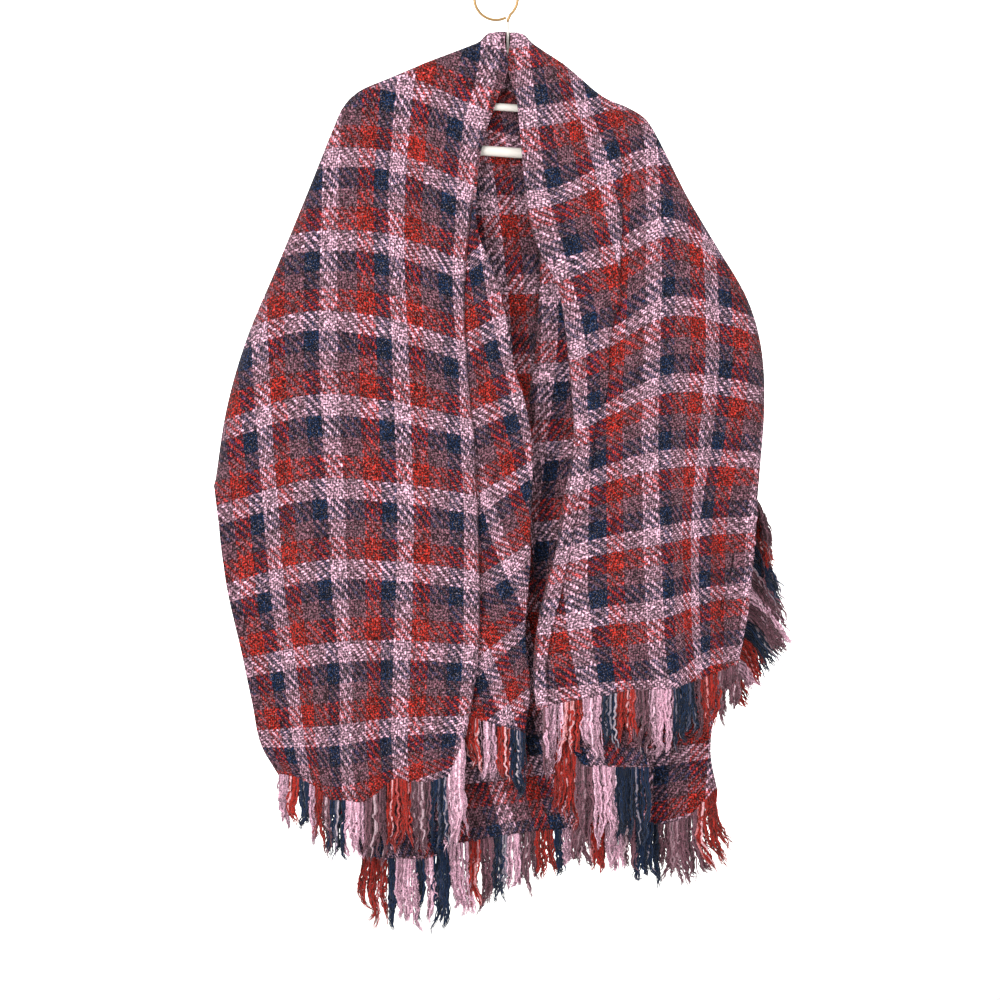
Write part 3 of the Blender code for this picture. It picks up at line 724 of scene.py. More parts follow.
# %% Right front
PLEAT_LEAD, PLEAT_BACK = 70, (10, 150)  # above and past the pleat, where its column moves
FLAP_BARE = 2  # columns of the flap, next to the roll, without fringe


def along_pleat(x, z, still):
    """The panel's columns, moved sideways so that one of them keeps to the slanting pleat."""
    last = x.shape[1] - 1
    edge = np.stack([read(RIGHT_PLEAT, z[:, c])[:, 0] for c in range(last + 1)], axis=1)
    left = (x < edge).argmax(axis=1)
    rows = np.arange(len(x))
    past = x[rows, left - 1] - edge[rows, left - 1]
    ahead = edge[rows, left] - x[rows, left]
    place = left - 1 + past / (past + ahead)
    place = np.minimum(place, last - 1.2)
    depth = -z[rows, left]
    up, off = RIGHT_PLEAT_ENDS[0], RIGHT_PLEAT_ENDS[-1]
    column_at = int(round(place[np.searchsorted(depth, up)]))
    moved = rise(depth, up - PLEAT_LEAD, up)
    moved = moved * (1 - rise(depth, off + PLEAT_BACK[0], off + PLEAT_BACK[1]))
    place = column_at + moved * (place - column_at)
    place[:still] = column_at
    new_x, new_z = x.copy(), z.copy()
    for row in rows:
        at = np.interp(np.arange(last + 1), (0, column_at, last), (0, place[row], last))
        new_x[row] = np.interp(at, np.arange(last + 1), x[row])
        new_z[row] = np.interp(at, np.arange(last + 1), z[row])
    return new_x, new_z, column_at


def right_front(fold, sections):
    starts, ends = sections[:, :2], sections[:, 2:]
    laid = partial(column, fold=fold, side=-1, face=-1, folds=FRONT_FOLDS)
    radius = RIGHT_FLAP_RADIUS
    flat = []
    for i in reversed(range(len(starts))):
        line_of = partial(section_line, i, starts, ends, RIGHT_ROLL, RIGHT_SELVEDGE)
        x, z = line_of(stations(line_of, fold, -1)).T
        if i == 0:
            turn, flap = read(RIGHT_FLAP, z).T
            turn = np.radians(np.clip(turn, 0, 180))
            x = x + radius * np.sin(np.minimum(turn, np.pi / 2))
            x = x + flap * np.maximum(np.cos(turn), 0)
        flat.append((x, z))
    b = stations(line_of, fold, -1)
    start, z_roll = flat[-1]
    x, z = np.stack([p[0] for p in flat], axis=1), np.stack([p[1] for p in flat], axis=1)
    x, z, pleat = along_pleat(x, z, TURN_STEPS + 1)

    # The strip beside the opening lies on the cloth to its right.
    depth = -z[:, pleat]
    up, whole, leaves, off = RIGHT_PLEAT_ENDS
    raised = rise(depth, up, whole) * (1 - rise(depth, leaves, off))
    over, under = RIGHT_PLEAT_STEP
    columns = []
    for c in range(x.shape[1]):
        beside = np.exp(-(((x[:, c] - x[:, pleat]) / RIGHT_PLEAT_EASE) ** 2)) * raised
        if c <= pleat:
            tuck = RIGHT_PLEAT_UNDER * raised if c == pleat else 0 * raised
            columns.append(laid(x[:, c] - tuck, z[:, c], under * beside))
        if c >= pleat:
            near = np.maximum(x[:, c], start)
            columns.append(laid(near, z[:, c], -over * beside))
    outer = len(columns)
    strip = pleat + 1
    behind_last = -over * beside
    past = []  # how far past the last column each next one lies, along the cloth
    for share in shares(ROLL_TURN):
        x_turned = start - radius * np.sin(turn * share)
        behind = behind_last + radius * (1 - np.cos(turn * share))
        columns.append(laid(x_turned, z_roll, behind))
        past.append(radius * turn * share)
    for share in shares(ROLL_FLAP):
        low = z_roll - RIGHT_FLAP_DROP * b**2 * rise(share * flap, 0, FLAP_DROP_WITHIN)
        along = x_turned - share * flap * np.cos(turn)
        under_it = behind + share * flap * np.sin(turn)
        columns.append(laid(along, low, under_it))
        past.append(radius * turn + share * flap)
    grid = np.stack(columns, axis=1)

    x, z = grid[:, :outer, 0], grid[:, :outer, 2]
    thread, row = read_weave(x, z, RIGHT_WEAVE, RIGHT_THREADS)
    on_strip = read_weave(x[:, strip:], z[:, strip:], STRIP_WEAVE, STRIP_THREADS)
    same = 1 - rise(-z[:, strip:], leaves, off)
    thread[:, strip:] += same * (on_strip[0] - thread[:, strip:])
    row[:, strip:] += same * (on_strip[1] - row[:, strip:])
    past = np.stack([np.concatenate([p[:1], p]) for p in past], axis=1)
    drop = grid[:, outer - 1, None, 2] - grid[:, outer:, 2]
    thread = np.hstack([thread, thread[:, -1:] + past])
    row = np.hstack([row, row[:, -1:] + drop / CHECK_LONG])
    HEMS["fringe_right_front"] = grid[-1, :outer]
    HEMS["fringe_right_fold"] = grid[-1, outer + ROLL_TURN + FLAP_BARE :]
    return grid, to_repeats(thread, row, -1)


right_sections = finer(RIGHT_FRONT_SECTIONS, ACROSS)
right_fold = np.vstack([RIGHT_NAPE, right_sections[:, :2]])
grid, weave = right_front(right_fold, right_sections)
right_front_area = area_of(grid)
cloth_right_front = sheet("cloth_right_front", grid, weave)
print("right front:", grid.shape[:2], "points,", round(right_front_area, 3), "m2")


# %% [markdown]
# ### Back panels
#
# They start where the fronts do, on the line where the cloth folds over, and are
# sewn together down the centre of the back, which leaves a low ridge.  At the nape
# the cloth stands behind the hanger's stem.

# %% Back panels
STEM_X, STEM_LOW = 16.0, 106.0  # where the hanger's stem stands, and how low it reaches
SIDE_FRINGE_TOP, SIDE_FRINGE_LOW = -705, -975  # where the right back's edge shows its fringe


def back_panel(sections, hem, outer_line, fold, side, fixed=None):
    """A back panel from the seam to its selvedge.  Fixed gives the seam's rows."""
    starts = sections[:, :2].copy()
    starts[0] = (BACK_SEAM[0][1], BACK_SEAM[0][0])
    ends = finer(hem, ACROSS)
    columns = []
    for i in range(len(starts)):
        line_of = partial(section_line, i, starts, ends, BACK_SEAM, outer_line)
        b = stations(line_of, fold, side) if i or fixed is None else fixed
        if i == 0:
            fixed = b
        x, z = line_of(b).T
        if i == 0:
            x = x - side * SEAM_HALF_GAP
            seam_x = x
        made = column(x, z, 0.0, fold, side, 1, BACK_FOLDS)
        nape = 1 - rise(-made[:, 2], STEM_LOW, NAPE_LOW)
        made[:, 1] += NAPE_PUSH * np.exp(-(((made[:, 0] - STEM_X) / NAPE_HALF) ** 2)) * nape
        seam = np.abs(made[1:, 0] - seam_x) / SEAM_RIDGE_WIDE
        made[1:, 1] += SEAM_RIDGE * np.exp(-(seam**2)) * rise(-made[1:, 2], STEM_LOW, NAPE_LOW)
        columns.append(made)
    return np.stack(columns, axis=1), fixed


grid, seam_rows = back_panel(left_sections, LEFT_BACK_HEM, LEFT_BACK_SELVEDGE, left_fold, 1)
thread, row = read_weave(grid[..., 0], grid[..., 2], LEFT_BACK_WEAVE, LEFT_BACK_THREADS)
HEMS["fringe_left_back"] = grid[-1]
left_back_area = area_of(grid)
cloth_left_back = sheet("cloth_left_back", grid[:, ::-1], to_repeats(thread, row, -1)[:, ::-1])
print("left back:", grid.shape[:2], "points,", round(left_back_area, 3), "m2")

grid, _ = back_panel(right_sections, RIGHT_BACK_HEM, RIGHT_BACK_SELVEDGE, right_fold, -1, seam_rows)
thread, row = read_weave(grid[..., 0], grid[..., 2], RIGHT_BACK_WEAVE, RIGHT_BACK_THREADS)
HEMS["fringe_right_back"] = grid[-1]
edge = grid[:, -1]
shown = (edge[:, 2] < SIDE_FRINGE_TOP) & (edge[:, 2] > SIDE_FRINGE_LOW)
HEMS["fringe_right_side"] = edge[shown]
right_back_area = area_of(grid)
weave = to_repeats(thread, row, 1, RIGHT_BACK_SHIFT)
cloth_right_back = sheet("cloth_right_back", grid[:, ::-1], weave[:, ::-1])
print("right back:", grid.shape[:2], "points,", round(right_back_area, 3), "m2")

# %% [markdown]
# ## Brushed wool twill
#
# The cloth is a 2/2 twill of thick wool, dyed in four colours and brushed.  Four
# warp colours cross four weft colours, so sixteen mixtures show.  The shader works
# as the loom does.  It counts the ends and the picks, finds which of the two lies
# on top at each crossing, and gives each float its own colour, roundness and
# brightness.  The brightness is a random tone with painted shade over it: darker
# where a float sinks between its neighbours, and lighter on its crown.  Each yarn
# passes over two and under two, one further on at each pick, and that step is the
# diagonal.

# %% Adding a node
MATH, VECTOR_MATH = "ShaderNodeMath", "ShaderNodeVectorMath"
NOISE, MIX, MAP_RANGE = "ShaderNodeTexNoise", "ShaderNodeMix", "ShaderNodeMapRange"


def add(tree, kind, inputs=None, **settings):
    """A new node with its settings.  Inputs, by name or number, are values, sockets or nodes."""
    node = tree.nodes.new(kind)
    for name, value in settings.items():
        setattr(node, name, value)
    for key, value in (inputs or {}).items():
        if isinstance(value, bpy.types.Node):
            value = value.outputs[0]
        if isinstance(value, bpy.types.NodeSocket):
            tree.links.new(value, node.inputs[key])
        else:
            node.inputs[key].default_value = value
    return node


# %% Yarn colours, and the stripes counted in yarns
YARNS = {"navy": "#0a1f3b", "pink": "#c69aad", "red": "#972219", "mauve": "#6e4853"}
YARNS_A_REPEAT = 32  # both ways, so 3.1 mm from end to end and 3.4 mm from pick to pick
WARP_STRIPES = (  # one repeat, then the next, in which red and mauve change places
    ("navy", 7), ("pink", 8), ("red", 8), ("mauve", 9), ("navy", 7), ("pink", 8), ("mauve", 9),
    ("red", 8),
)
WEFT_STRIPES = (("navy", 8), ("mauve", 7), ("red", 9), ("pink", 8))
print("stripes:", len(WARP_STRIPES), "across,", len(WEFT_STRIPES), "along")


def stripes(tree, yarn, bands):
    """Colours of one set of yarns, where `yarn` numbers them from a navy stripe's middle."""
    total = sum(count for _, count in bands)
    place = add(tree, MATH, {0: yarn, 1: bands[0][1] / 2}, operation="ADD")
    place = add(tree, MATH, {0: place, 1: float(total)}, operation="DIVIDE")
    place = add(tree, MATH, {0: place}, operation="FRACT")
    ramp = add(tree, "ShaderNodeValToRGB", {"Fac": place})
    ramp.color_ramp.interpolation = "CONSTANT"
    at = 0
    for i, (colour, count) in enumerate(bands):
        stop = ramp.color_ramp.elements[0] if i == 0 else ramp.color_ramp.elements.new(at / total)
        stop.position = at / total
        stop.color = (*linear(YARNS[colour]), 1)
        at += count
    ramp.color_ramp.elements.remove(ramp.color_ramp.elements[-1])
    return ramp


# %% The cloth's material
WANDER = 0.6  # how many yarns brushing has moved a float aside, at most
# The colour of stray pale fibres, also used for painted glints on the cloth and painted highlights
# on the fringe.
PALE_FIBRE_AND_GLINT = "#f3dbe4"
# Noise scales, so marks of about 4, 3, 1.2 and 1.6 mm on the cloth, and 1.8 mm on the fringe.
WANDER_SCALE, FLECK_SCALE, BLEND_SCALE, FIBRE_SCALE = 240.0, 330.0, 800.0, 620.0
FUZZ_SCALE = 560.0


def wool_twill(name):
    """Brushed wool twill: matt and soft, thick loose yarns that cross two over, two under.

    A wool fibre is some hundredths of a millimetre thick, far too fine to show, so the
    fibres, flecks and loops are drawn coarser, as noise of 1.2 to 4 mm.
    """
    made, tree, shader = new_material(
        name,
        {
            "Roughness": 0.95,
            "Specular IOR Level": 0.15,
            "Sheen Weight": 0.12,
            "Sheen Roughness": 0.5,
            "Sheen Tint": "#e7d3da",
        },
    )
    uv = add(tree, "ShaderNodeUVMap", uv_map="weave")
    place = add(tree, "ShaderNodeTexCoord").outputs["Object"]

    # Each point's place, counted in yarns both ways and nudged by the brushing.
    count = add(
        tree,
        VECTOR_MATH,
        {0: uv, 1: (float(YARNS_A_REPEAT), float(YARNS_A_REPEAT), 0.0), 2: (0.5, 0.0, 0.0)},
        operation="MULTIPLY_ADD",
    )
    wander = add(tree, NOISE, {"Vector": place, "Scale": WANDER_SCALE, "Detail": 2.0})
    wander = wander.outputs["Color"]
    count = add(
        tree,
        VECTOR_MATH,
        {0: wander, 1: (2 * WANDER, 2 * WANDER, 0.0), 2: count},
        operation="MULTIPLY_ADD",
    )
    count = add(tree, VECTOR_MATH, {0: count, 1: (WANDER, WANDER, 0.0)}, operation="SUBTRACT")
    number = add(tree, VECTOR_MATH, {0: count}, operation="FLOOR")
    within = add(tree, VECTOR_MATH, {0: count}, operation="FRACTION")
    end, pick = add(tree, "ShaderNodeSeparateXYZ", {0: number}).outputs[:2]
    in_end, in_pick = add(tree, "ShaderNodeSeparateXYZ", {0: within}).outputs[:2]

    # The warp end is on top at two crossings of every four.
    lag = add(tree, MATH, {0: end, 1: pick}, operation="SUBTRACT")
    step = add(tree, MATH, {0: lag, 1: 4.0}, operation="FLOORED_MODULO")
    on_top = add(tree, MATH, {0: step, 1: 1.5}, operation="LESS_THAN")
    warp_along = add(tree, MATH, {0: in_pick, 1: step}, operation="SUBTRACT")
    weft_along = add(tree, MATH, {0: in_end, 1: step}, operation="ADD")
    weft_along = add(tree, MATH, {0: weft_along, 1: 3.0}, operation="SUBTRACT")
    # Along and across a float both run from -1 to 1, whichever yarn it is.
    along = add(tree, MIX, {"Factor": on_top, 2: weft_along, 3: warp_along})
    across = add(tree, MIX, {"Factor": on_top, 2: in_pick, 3: in_end})
    across = add(tree, MATH, {0: across, 1: 2.0, 2: -1.0}, operation="MULTIPLY_ADD")

    # A float is round across and sinks at its two ends.
    side = add(tree, MATH, {0: across, 1: 2.0}, operation="POWER")
    sunk = add(tree, MATH, {0: along, 1: 2.0}, operation="POWER")
    low = add(tree, MATH, {0: sunk, 1: 0.9, 2: side}, operation="MULTIPLY_ADD")
    fleck = add(tree, NOISE, {"Vector": place, "Scale": FLECK_SCALE, "Detail": 2.0}).outputs["Fac"]
    rough = add(tree, MATH, {0: fleck, 1: 4.6, 2: -1.85}, operation="MULTIPLY_ADD")
    height = add(tree, MATH, {0: rough, 1: low}, operation="SUBTRACT")

    # Each float has its own shade, and the brushing mixes a little of the other yarn in.
    own = add(tree, MIX, {"Factor": on_top, 2: pick, 3: end})
    turn = add(tree, MATH, {0: lag, 1: 4.0}, operation="DIVIDE")
    turn = add(tree, MATH, {0: turn}, operation="FLOOR")
    key = add(tree, "ShaderNodeCombineXYZ", {0: own, 1: turn, 2: on_top})
    chance = add(tree, "ShaderNodeTexWhiteNoise", {"Vector": key}).outputs["Value"]
    warp = stripes(tree, end, WARP_STRIPES)
    weft_number = add(tree, MATH, {0: pick, 1: 0.5}, operation="ADD")
    weft = stripes(tree, weft_number, WEFT_STRIPES)
    mixed = add(tree, NOISE, {"Vector": place, "Scale": BLEND_SCALE, "Detail": 1.0}).outputs["Fac"]
    mixed = add(
        tree,
        MAP_RANGE,
        {"Value": mixed, "From Min": 0.42, "From Max": 0.62, "To Min": 0.0, "To Max": 0.4},
    )
    part = add(tree, MATH, {0: on_top, 1: mixed}, operation="SUBTRACT")
    part = add(tree, MATH, {0: part}, operation="ABSOLUTE")
    colour = add(tree, MIX, {0: part, 6: weft, 7: warp}, data_type="RGBA").outputs[2]

    # Painted shade and highlight: the colour darkens where a float sinks between its neighbours and
    # at its ends, and lightens on its crown.
    bright = add(
        tree,
        MAP_RANGE,
        {"Value": height, "From Min": -0.5, "From Max": 1.25, "To Min": 0.18, "To Max": 2.58},
    )
    shade = add(tree, MATH, {0: chance, 1: 0.5}, operation="ADD")
    shade = add(tree, MATH, {0: shade, 1: bright}, operation="MULTIPLY")

    # Painted highlight: a few loops of fibre on the nap are drawn brighter, as if they caught the
    # light.
    loops = add(tree, NOISE, {"Vector": place, "Scale": FLECK_SCALE, "Detail": 1.0}).outputs["Fac"]
    loops = add(tree, MATH, {0: loops, 1: 0.5}, operation="SUBTRACT")
    loops = add(tree, MATH, {0: loops}, operation="ABSOLUTE")
    loops = add(
        tree,
        MAP_RANGE,
        {"Value": loops, "From Min": 0.0, "From Max": 0.035, "To Min": 1.55, "To Max": 1.0},
    )
    shade = add(tree, MATH, {0: shade, 1: loops}, operation="MULTIPLY")
    colour = add(
        tree, MIX, {0: 1.0, 6: colour, 7: shade}, data_type="RGBA", blend_type="MULTIPLY"
    ).outputs[2]

    # Single pale fibres lie over everything, and the same mix paints small glints that lighten the
    # dark yarns.
    pale = add(tree, NOISE, {"Vector": place, "Scale": FIBRE_SCALE, "Detail": 2.0}).outputs["Fac"]
    pale = add(
        tree,
        MAP_RANGE,
        {"Value": pale, "From Min": 0.58, "From Max": 0.75, "To Min": 0.0, "To Max": 0.34},
    )
    colour = add(
        tree, MIX, {0: pale, 6: colour, 7: (*linear(PALE_FIBRE_AND_GLINT), 1)}, data_type="RGBA"
    ).outputs[2]
    tree.links.new(colour, shader.inputs["Base Color"])

    bump = add(tree, "ShaderNodeBump", {"Strength": 0.7, "Distance": 0.0012, "Height": height})
    tree.links.new(bump.outputs[0], shader.inputs["Normal"])
    return made


twill = wool_twill("brushed_wool_twill")
for piece in (cloth_left_front, cloth_right_front, cloth_left_back, cloth_right_back):
    piece.data.materials.append(twill)
print("material:", twill.name, len(twill.node_tree.nodes), "nodes")

# %% [markdown]
# ## Fringe
#
# The fringe is the warp itself, left unwoven beyond the last weft thread.  Each
# stripe's ends hang together in tassels of its own colour, and a tassel parts into
# a few locks of crimped yarn that taper to curled tips.  A strand is one curve: a
# Geometry Nodes tree repeats it from its root on the hem, bends it with its own
# tassel and lock, crimps it, and sweeps a small circle along it.

# %% Where the strands start
STRANDS_A_YARN = 5  # each loose yarn has opened into this many strands
YARN_PITCH = CHECK_WIDE / YARNS_A_REPEAT
STRIPE_AT = {"navy": 0.0, "pink": 7.5 / 32, "red": 15.5 / 32, "mauve": 24 / 32}  # in repeats
GATHER = 0.75  # how far a strand's tip moves towards its lock's middle
OPEN = 0.35  # how far a tassel's locks move apart
LENGTH_SPREAD = 0.16
TASSEL_WIDE, LOCK_WIDE = 20.0, 7.5  # mm of hem that cling together
TIP_SPREAD = 2.5
TASSEL_LENGTHS, LOCK_LENGTHS = (0.93, 1.05), (0.88, 1.05)  # of the hem's length there
LOCK_SWAY = 0.004  # how much one lock's sway differs from the next one's
TASSEL_HALF_DEEP, ROOT_UNDER = 4.0, 2.0  # mm front to back, and up between the last wefts


def strand_roots(name, line, yarns, lengths, seed, fan=0.0, bend=4.0, key=0):
    """Roots along a hem as a mesh of points, each with what its strand needs to know.

    Yarns lists where each stripe starts along the hem and its colour, by x or, for
    an upright edge, by depth.
    """
    random = np.random.default_rng(seed)
    run = np.concatenate([[0], np.cumsum(np.linalg.norm(np.diff(line, axis=0), axis=1))])
    count = int(run[-1] / YARN_PITCH * STRANDS_A_YARN)
    at = np.sort(random.uniform(0, run[-1], count))
    root = np.stack([np.interp(at, run, line[:, k]) for k in range(3)], axis=1)
    place = root[:, 0] if key == 0 else -root[:, 2]
    starts = [start for start, _ in yarns]
    stripe = np.clip(np.searchsorted(starts, place, side="right") - 1, 0, len(yarns) - 1)
    thread = np.array([STRIPE_AT[yarns[number][1]] for number in stripe])
    places = np.asarray(lengths, float)
    length = np.interp(root[:, 0], *places[places[:, 0].argsort()].T)
    tassel, tassel_tip, middle = np.zeros(count), np.zeros((count, 3)), np.zeros((count, 3))
    for number in np.unique(stripe):
        mine = np.nonzero(stripe == number)[0]
        for group in np.array_split(mine, max(1, round(np.ptp(at[mine]) / TASSEL_WIDE))):
            sways, centre = random.uniform(0, 1), root[group].mean(axis=0)
            length[group] *= random.uniform(*TASSEL_LENGTHS)
            locks = np.array_split(group, max(1, round(np.ptp(at[group]) / LOCK_WIDE)))
            for k, lock in enumerate(locks):
                tassel[lock] = sways + LOCK_SWAY * k
                middle[lock] = root[lock].mean(axis=0)
                tassel_tip[lock] = OPEN * (middle[lock[0]] - centre)
                tassel_tip[lock] += random.uniform(-TIP_SPREAD, TIP_SPREAD, 3)
                length[lock] *= random.uniform(*LOCK_LENGTHS)
    length = length * (1 - LENGTH_SPREAD * random.uniform(0, 1, count) ** 2)
    tip = GATHER * (middle - root) + tassel_tip
    tip[:, 0] += fan * length * rise(root[:, 0], root[:, 0].mean(), root[:, 0].max())
    tip[:, 2] = 0.0
    root[:, 1] += random.uniform(-TASSEL_HALF_DEEP, TASSEL_HALF_DEEP, count)
    root[:, 2] += ROOT_UNDER
    mesh = bpy.data.meshes.new(name)
    mesh.from_pydata((root * MM).tolist(), [], [])
    for label, values in (
        ("length", length * MM),
        ("thread", thread),
        ("tone", random.uniform(0.0, 1.0, count)),
        ("tassel", tassel),
        ("bend", np.full(count, bend)),
    ):
        mesh.attributes.new(label, "FLOAT", "POINT").data.foreach_set("value", values)
    tips = mesh.attributes.new("tip", "FLOAT_VECTOR", "POINT")
    tips.data.foreach_set("vector", (tip * MM).ravel())
    return placed(name, mesh)


# %% The strand tree
STRAND_POINTS = 28
STRAND_APART, TASSEL_APART, LOCK_APART = 57.0, 91.0, 1700.0  # so that neighbours bend apart
CRIMP_GROWS, TIP_POWER = 3.5, 5.0  # the crimp starts at the root, curl and taper at the tip


def waves(tree, reach, spacing, size, whose, key):
    """Smooth sideways bends along a strand; strands with the same `whose` bend together."""
    where = add(tree, MATH, {0: reach, 1: spacing}, operation="DIVIDE")
    where = add(tree, "ShaderNodeCombineXYZ", {0: where, 1: whose, 2: key})
    noise = add(tree, NOISE, {"Vector": where, "Scale": 1.0, "Detail": 0.0})
    centred = add(
        tree, VECTOR_MATH, {0: noise.outputs["Color"], 1: (0.5, 0.5, 0.5)}, operation="SUBTRACT"
    )
    twice = add(tree, MATH, {0: size, 1: 2.0}, operation="MULTIPLY")
    return add(tree, VECTOR_MATH, {0: centred, "Scale": twice}, operation="SCALE")


def strand_tree(material):
    """Roots in, crimped and tapered yarns out."""
    tree = bpy.data.node_groups.new("crimped_strands", "GeometryNodeTree")
    face = tree.interface
    face.new_socket("Roots", in_out="INPUT", socket_type="NodeSocketGeometry")
    sizes = (
        ("Yarn radius", 0.00138), ("Crimp", 0.0044), ("Crimp spacing", 0.0070), ("Sway", 0.013),
        ("Sway spacing", 0.046), ("Curl", 0.014), ("Curl spacing", 0.020), ("Seed", 3.0),
    )
    for label, value in sizes:
        socket = face.new_socket(label, in_out="INPUT", socket_type="NodeSocketFloat")
        socket.default_value = value
    face.new_socket("Strands", in_out="OUTPUT", socket_type="NodeSocketGeometry")
    given = add(tree, "NodeGroupInput").outputs
    own = {}
    for name in ("along", "length", "tone", "tassel", "bend"):
        own[name] = add(tree, "GeometryNodeInputNamedAttribute", {"Name": name}).outputs[0]
    own["tip"] = add(
        tree, "GeometryNodeInputNamedAttribute", {"Name": "tip"}, data_type="FLOAT_VECTOR"
    ).outputs[0]

    line = add(
        tree,
        "GeometryNodeMeshLine",
        {"Count": STRAND_POINTS, "Offset": (0, 0, 1 / (STRAND_POINTS - 1))},
    )
    height = add(tree, "ShaderNodeSeparateXYZ", {0: add(tree, "GeometryNodeInputPosition")})
    line = add(
        tree,
        "GeometryNodeStoreNamedAttribute",
        {"Geometry": line, "Name": "along", "Value": height.outputs[2]},
        data_type="FLOAT",
    )
    copies = add(
        tree,
        "GeometryNodeInstanceOnPoints",
        {"Points": given["Roots"], "Instance": line, "Scale": (0.0, 0.0, 1e-5)},
    )
    strands = add(tree, "GeometryNodeRealizeInstances", {0: copies})

    # Each point falls from the root, drawn towards its tassel's tip.
    reach = add(tree, MATH, {0: own["along"], 1: own["length"]}, operation="MULTIPLY")
    down = add(tree, MATH, {0: reach, 1: -1.0}, operation="MULTIPLY")
    fall = add(tree, "ShaderNodeCombineXYZ", {2: down})
    drawn = add(tree, MATH, {0: own["along"], 1: own["bend"]}, operation="POWER")
    moved = add(tree, VECTOR_MATH, {0: own["tip"], 1: drawn, 2: fall}, operation="MULTIPLY_ADD")

    # A tassel sways as one, each lock curls at its tip, and each strand is crimped.
    alone = add(
        tree, MATH, {0: own["tone"], 1: STRAND_APART, 2: given["Seed"]}, operation="MULTIPLY_ADD"
    )
    together = add(
        tree, MATH, {0: own["tassel"], 1: TASSEL_APART, 2: given["Seed"]}, operation="MULTIPLY_ADD"
    )
    root_free = add(tree, MATH, {0: own["along"], 1: CRIMP_GROWS}, operation="MULTIPLY")
    root_free = add(tree, MATH, {0: root_free, 1: 1.0}, operation="MINIMUM")
    of_lock = add(tree, MATH, {0: own["tassel"], 1: LOCK_APART}, operation="MULTIPLY")
    late = add(tree, MATH, {0: own["along"], 1: TIP_POWER}, operation="POWER")
    crimp = waves(tree, reach, given["Crimp spacing"], given["Crimp"], alone, 0.5)
    sway = waves(tree, reach, given["Sway spacing"], given["Sway"], together, 7.5)
    curl = waves(tree, reach, given["Curl spacing"], given["Curl"], of_lock, 3.5)
    for bends, grown in ((crimp, root_free), (sway, own["along"]), (curl, late)):
        moved = add(tree, VECTOR_MATH, {0: bends, 1: grown, 2: moved}, operation="MULTIPLY_ADD")
    strands = add(tree, "GeometryNodeSetPosition", {"Geometry": strands, "Offset": moved})

    # Yarns differ in thickness, and each thins towards its tip.
    thin = add(tree, MATH, {0: own["along"], 1: TIP_POWER}, operation="POWER")
    thin = add(tree, MATH, {0: 1.06, 1: thin}, operation="SUBTRACT")
    uneven = add(tree, MATH, {0: own["tone"], 1: 0.7, 2: 0.55}, operation="MULTIPLY_ADD")
    radius = add(tree, MATH, {0: thin, 1: uneven}, operation="MULTIPLY")
    radius = add(tree, MATH, {0: radius, 1: given["Yarn radius"]}, operation="MULTIPLY")
    curves = add(tree, "GeometryNodeMeshToCurve", {0: strands})
    curves = add(tree, "GeometryNodeSetCurveRadius", {"Curve": curves, "Radius": radius})
    ring = add(tree, "GeometryNodeCurvePrimitiveCircle", {"Resolution": 4, "Radius": 1.0})
    tubes = add(tree, "GeometryNodeCurveToMesh", {"Curve": curves, "Profile Curve": ring})
    tubes.inputs["Fill Caps"].default_value = True
    if "Scale" in tubes.inputs:
        tree.links.new(radius.outputs[0], tubes.inputs["Scale"])
    tubes = add(tree, "GeometryNodeSetShadeSmooth", {0: tubes})
    tubes = add(tree, "GeometryNodeSetMaterial", {"Geometry": tubes, "Material": material})
    add(tree, "NodeGroupOutput", {0: tubes})
    return tree


def grow(made, tree, inputs):
    """Runs a tree on an object and leaves the result as its plain mesh."""
    modifier = made.modifiers.new("grow", "NODES")
    modifier.node_group = tree
    for item in tree.interface.items_tree:
        if item.in_out == "INPUT" and item.name in inputs:
            modifier[item.identifier] = inputs[item.name]
    graph = bpy.context.evaluated_depsgraph_get()
    mesh = bpy.data.meshes.new_from_object(made.evaluated_get(graph))
    made.modifiers.clear()
    made.data = mesh
    mesh.name = made.name
    return made


# %% Yarn material for the fringe
def wool_yarn(name):
    """Loose spun wool in the warp's own colours; a few strands pale, partly painted highlight.

    Its fibres are too fine to show and are drawn coarser, as fuzz of about 2 mm.
    """
    made, tree, shader = new_material(
        name,
        {
            "Roughness": 0.85,
            "Specular IOR Level": 0.25,
            "Sheen Weight": 0.2,
            "Sheen Roughness": 0.5,
        },
    )
    thread = add(tree, "ShaderNodeAttribute", attribute_name="thread").outputs["Fac"]
    tone = add(tree, "ShaderNodeAttribute", attribute_name="tone").outputs["Fac"]
    number = add(tree, MATH, {0: thread, 1: float(YARNS_A_REPEAT)}, operation="MULTIPLY")
    colour = stripes(tree, number, WARP_STRIPES)
    # Painted highlight: a few strands, picked at random, are paler, partly as pale fibres and
    # partly as light caught on them.
    pale = add(
        tree,
        MAP_RANGE,
        {"Value": tone, "From Min": 0.9, "From Max": 1.0, "To Min": 0.0, "To Max": 0.4},
    )
    colour = add(
        tree, MIX, {0: pale, 6: colour, 7: (*linear(PALE_FIBRE_AND_GLINT), 1)}, data_type="RGBA"
    ).outputs[2]
    place = add(tree, "ShaderNodeTexCoord").outputs["Object"]
    fuzz = add(tree, NOISE, {"Vector": place, "Scale": FUZZ_SCALE, "Detail": 2.0}).outputs["Fac"]
    value = add(tree, MATH, {0: fuzz, 1: 3.6, 2: -1.4}, operation="MULTIPLY_ADD")
    value = add(tree, MATH, {0: tone, 1: 1.15, 2: value}, operation="MULTIPLY_ADD")
    colour = add(
        tree, MIX, {0: 1.0, 6: colour, 7: value}, data_type="RGBA", blend_type="MULTIPLY"
    ).outputs[2]
    tree.links.new(colour, shader.inputs["Base Color"])
    bump = add(tree, "ShaderNodeBump", {"Strength": 0.5, "Distance": 0.0006, "Height": fuzz})
    tree.links.new(bump.outputs[0], shader.inputs["Normal"])
    return made


yarn = wool_yarn("loose_wool_yarn")
strands = strand_tree(yarn)

# %% [markdown]
# Each hem has its own lengths, read along it, because the hems swing and the
# tassels at the corners hang lower than those in the middle.

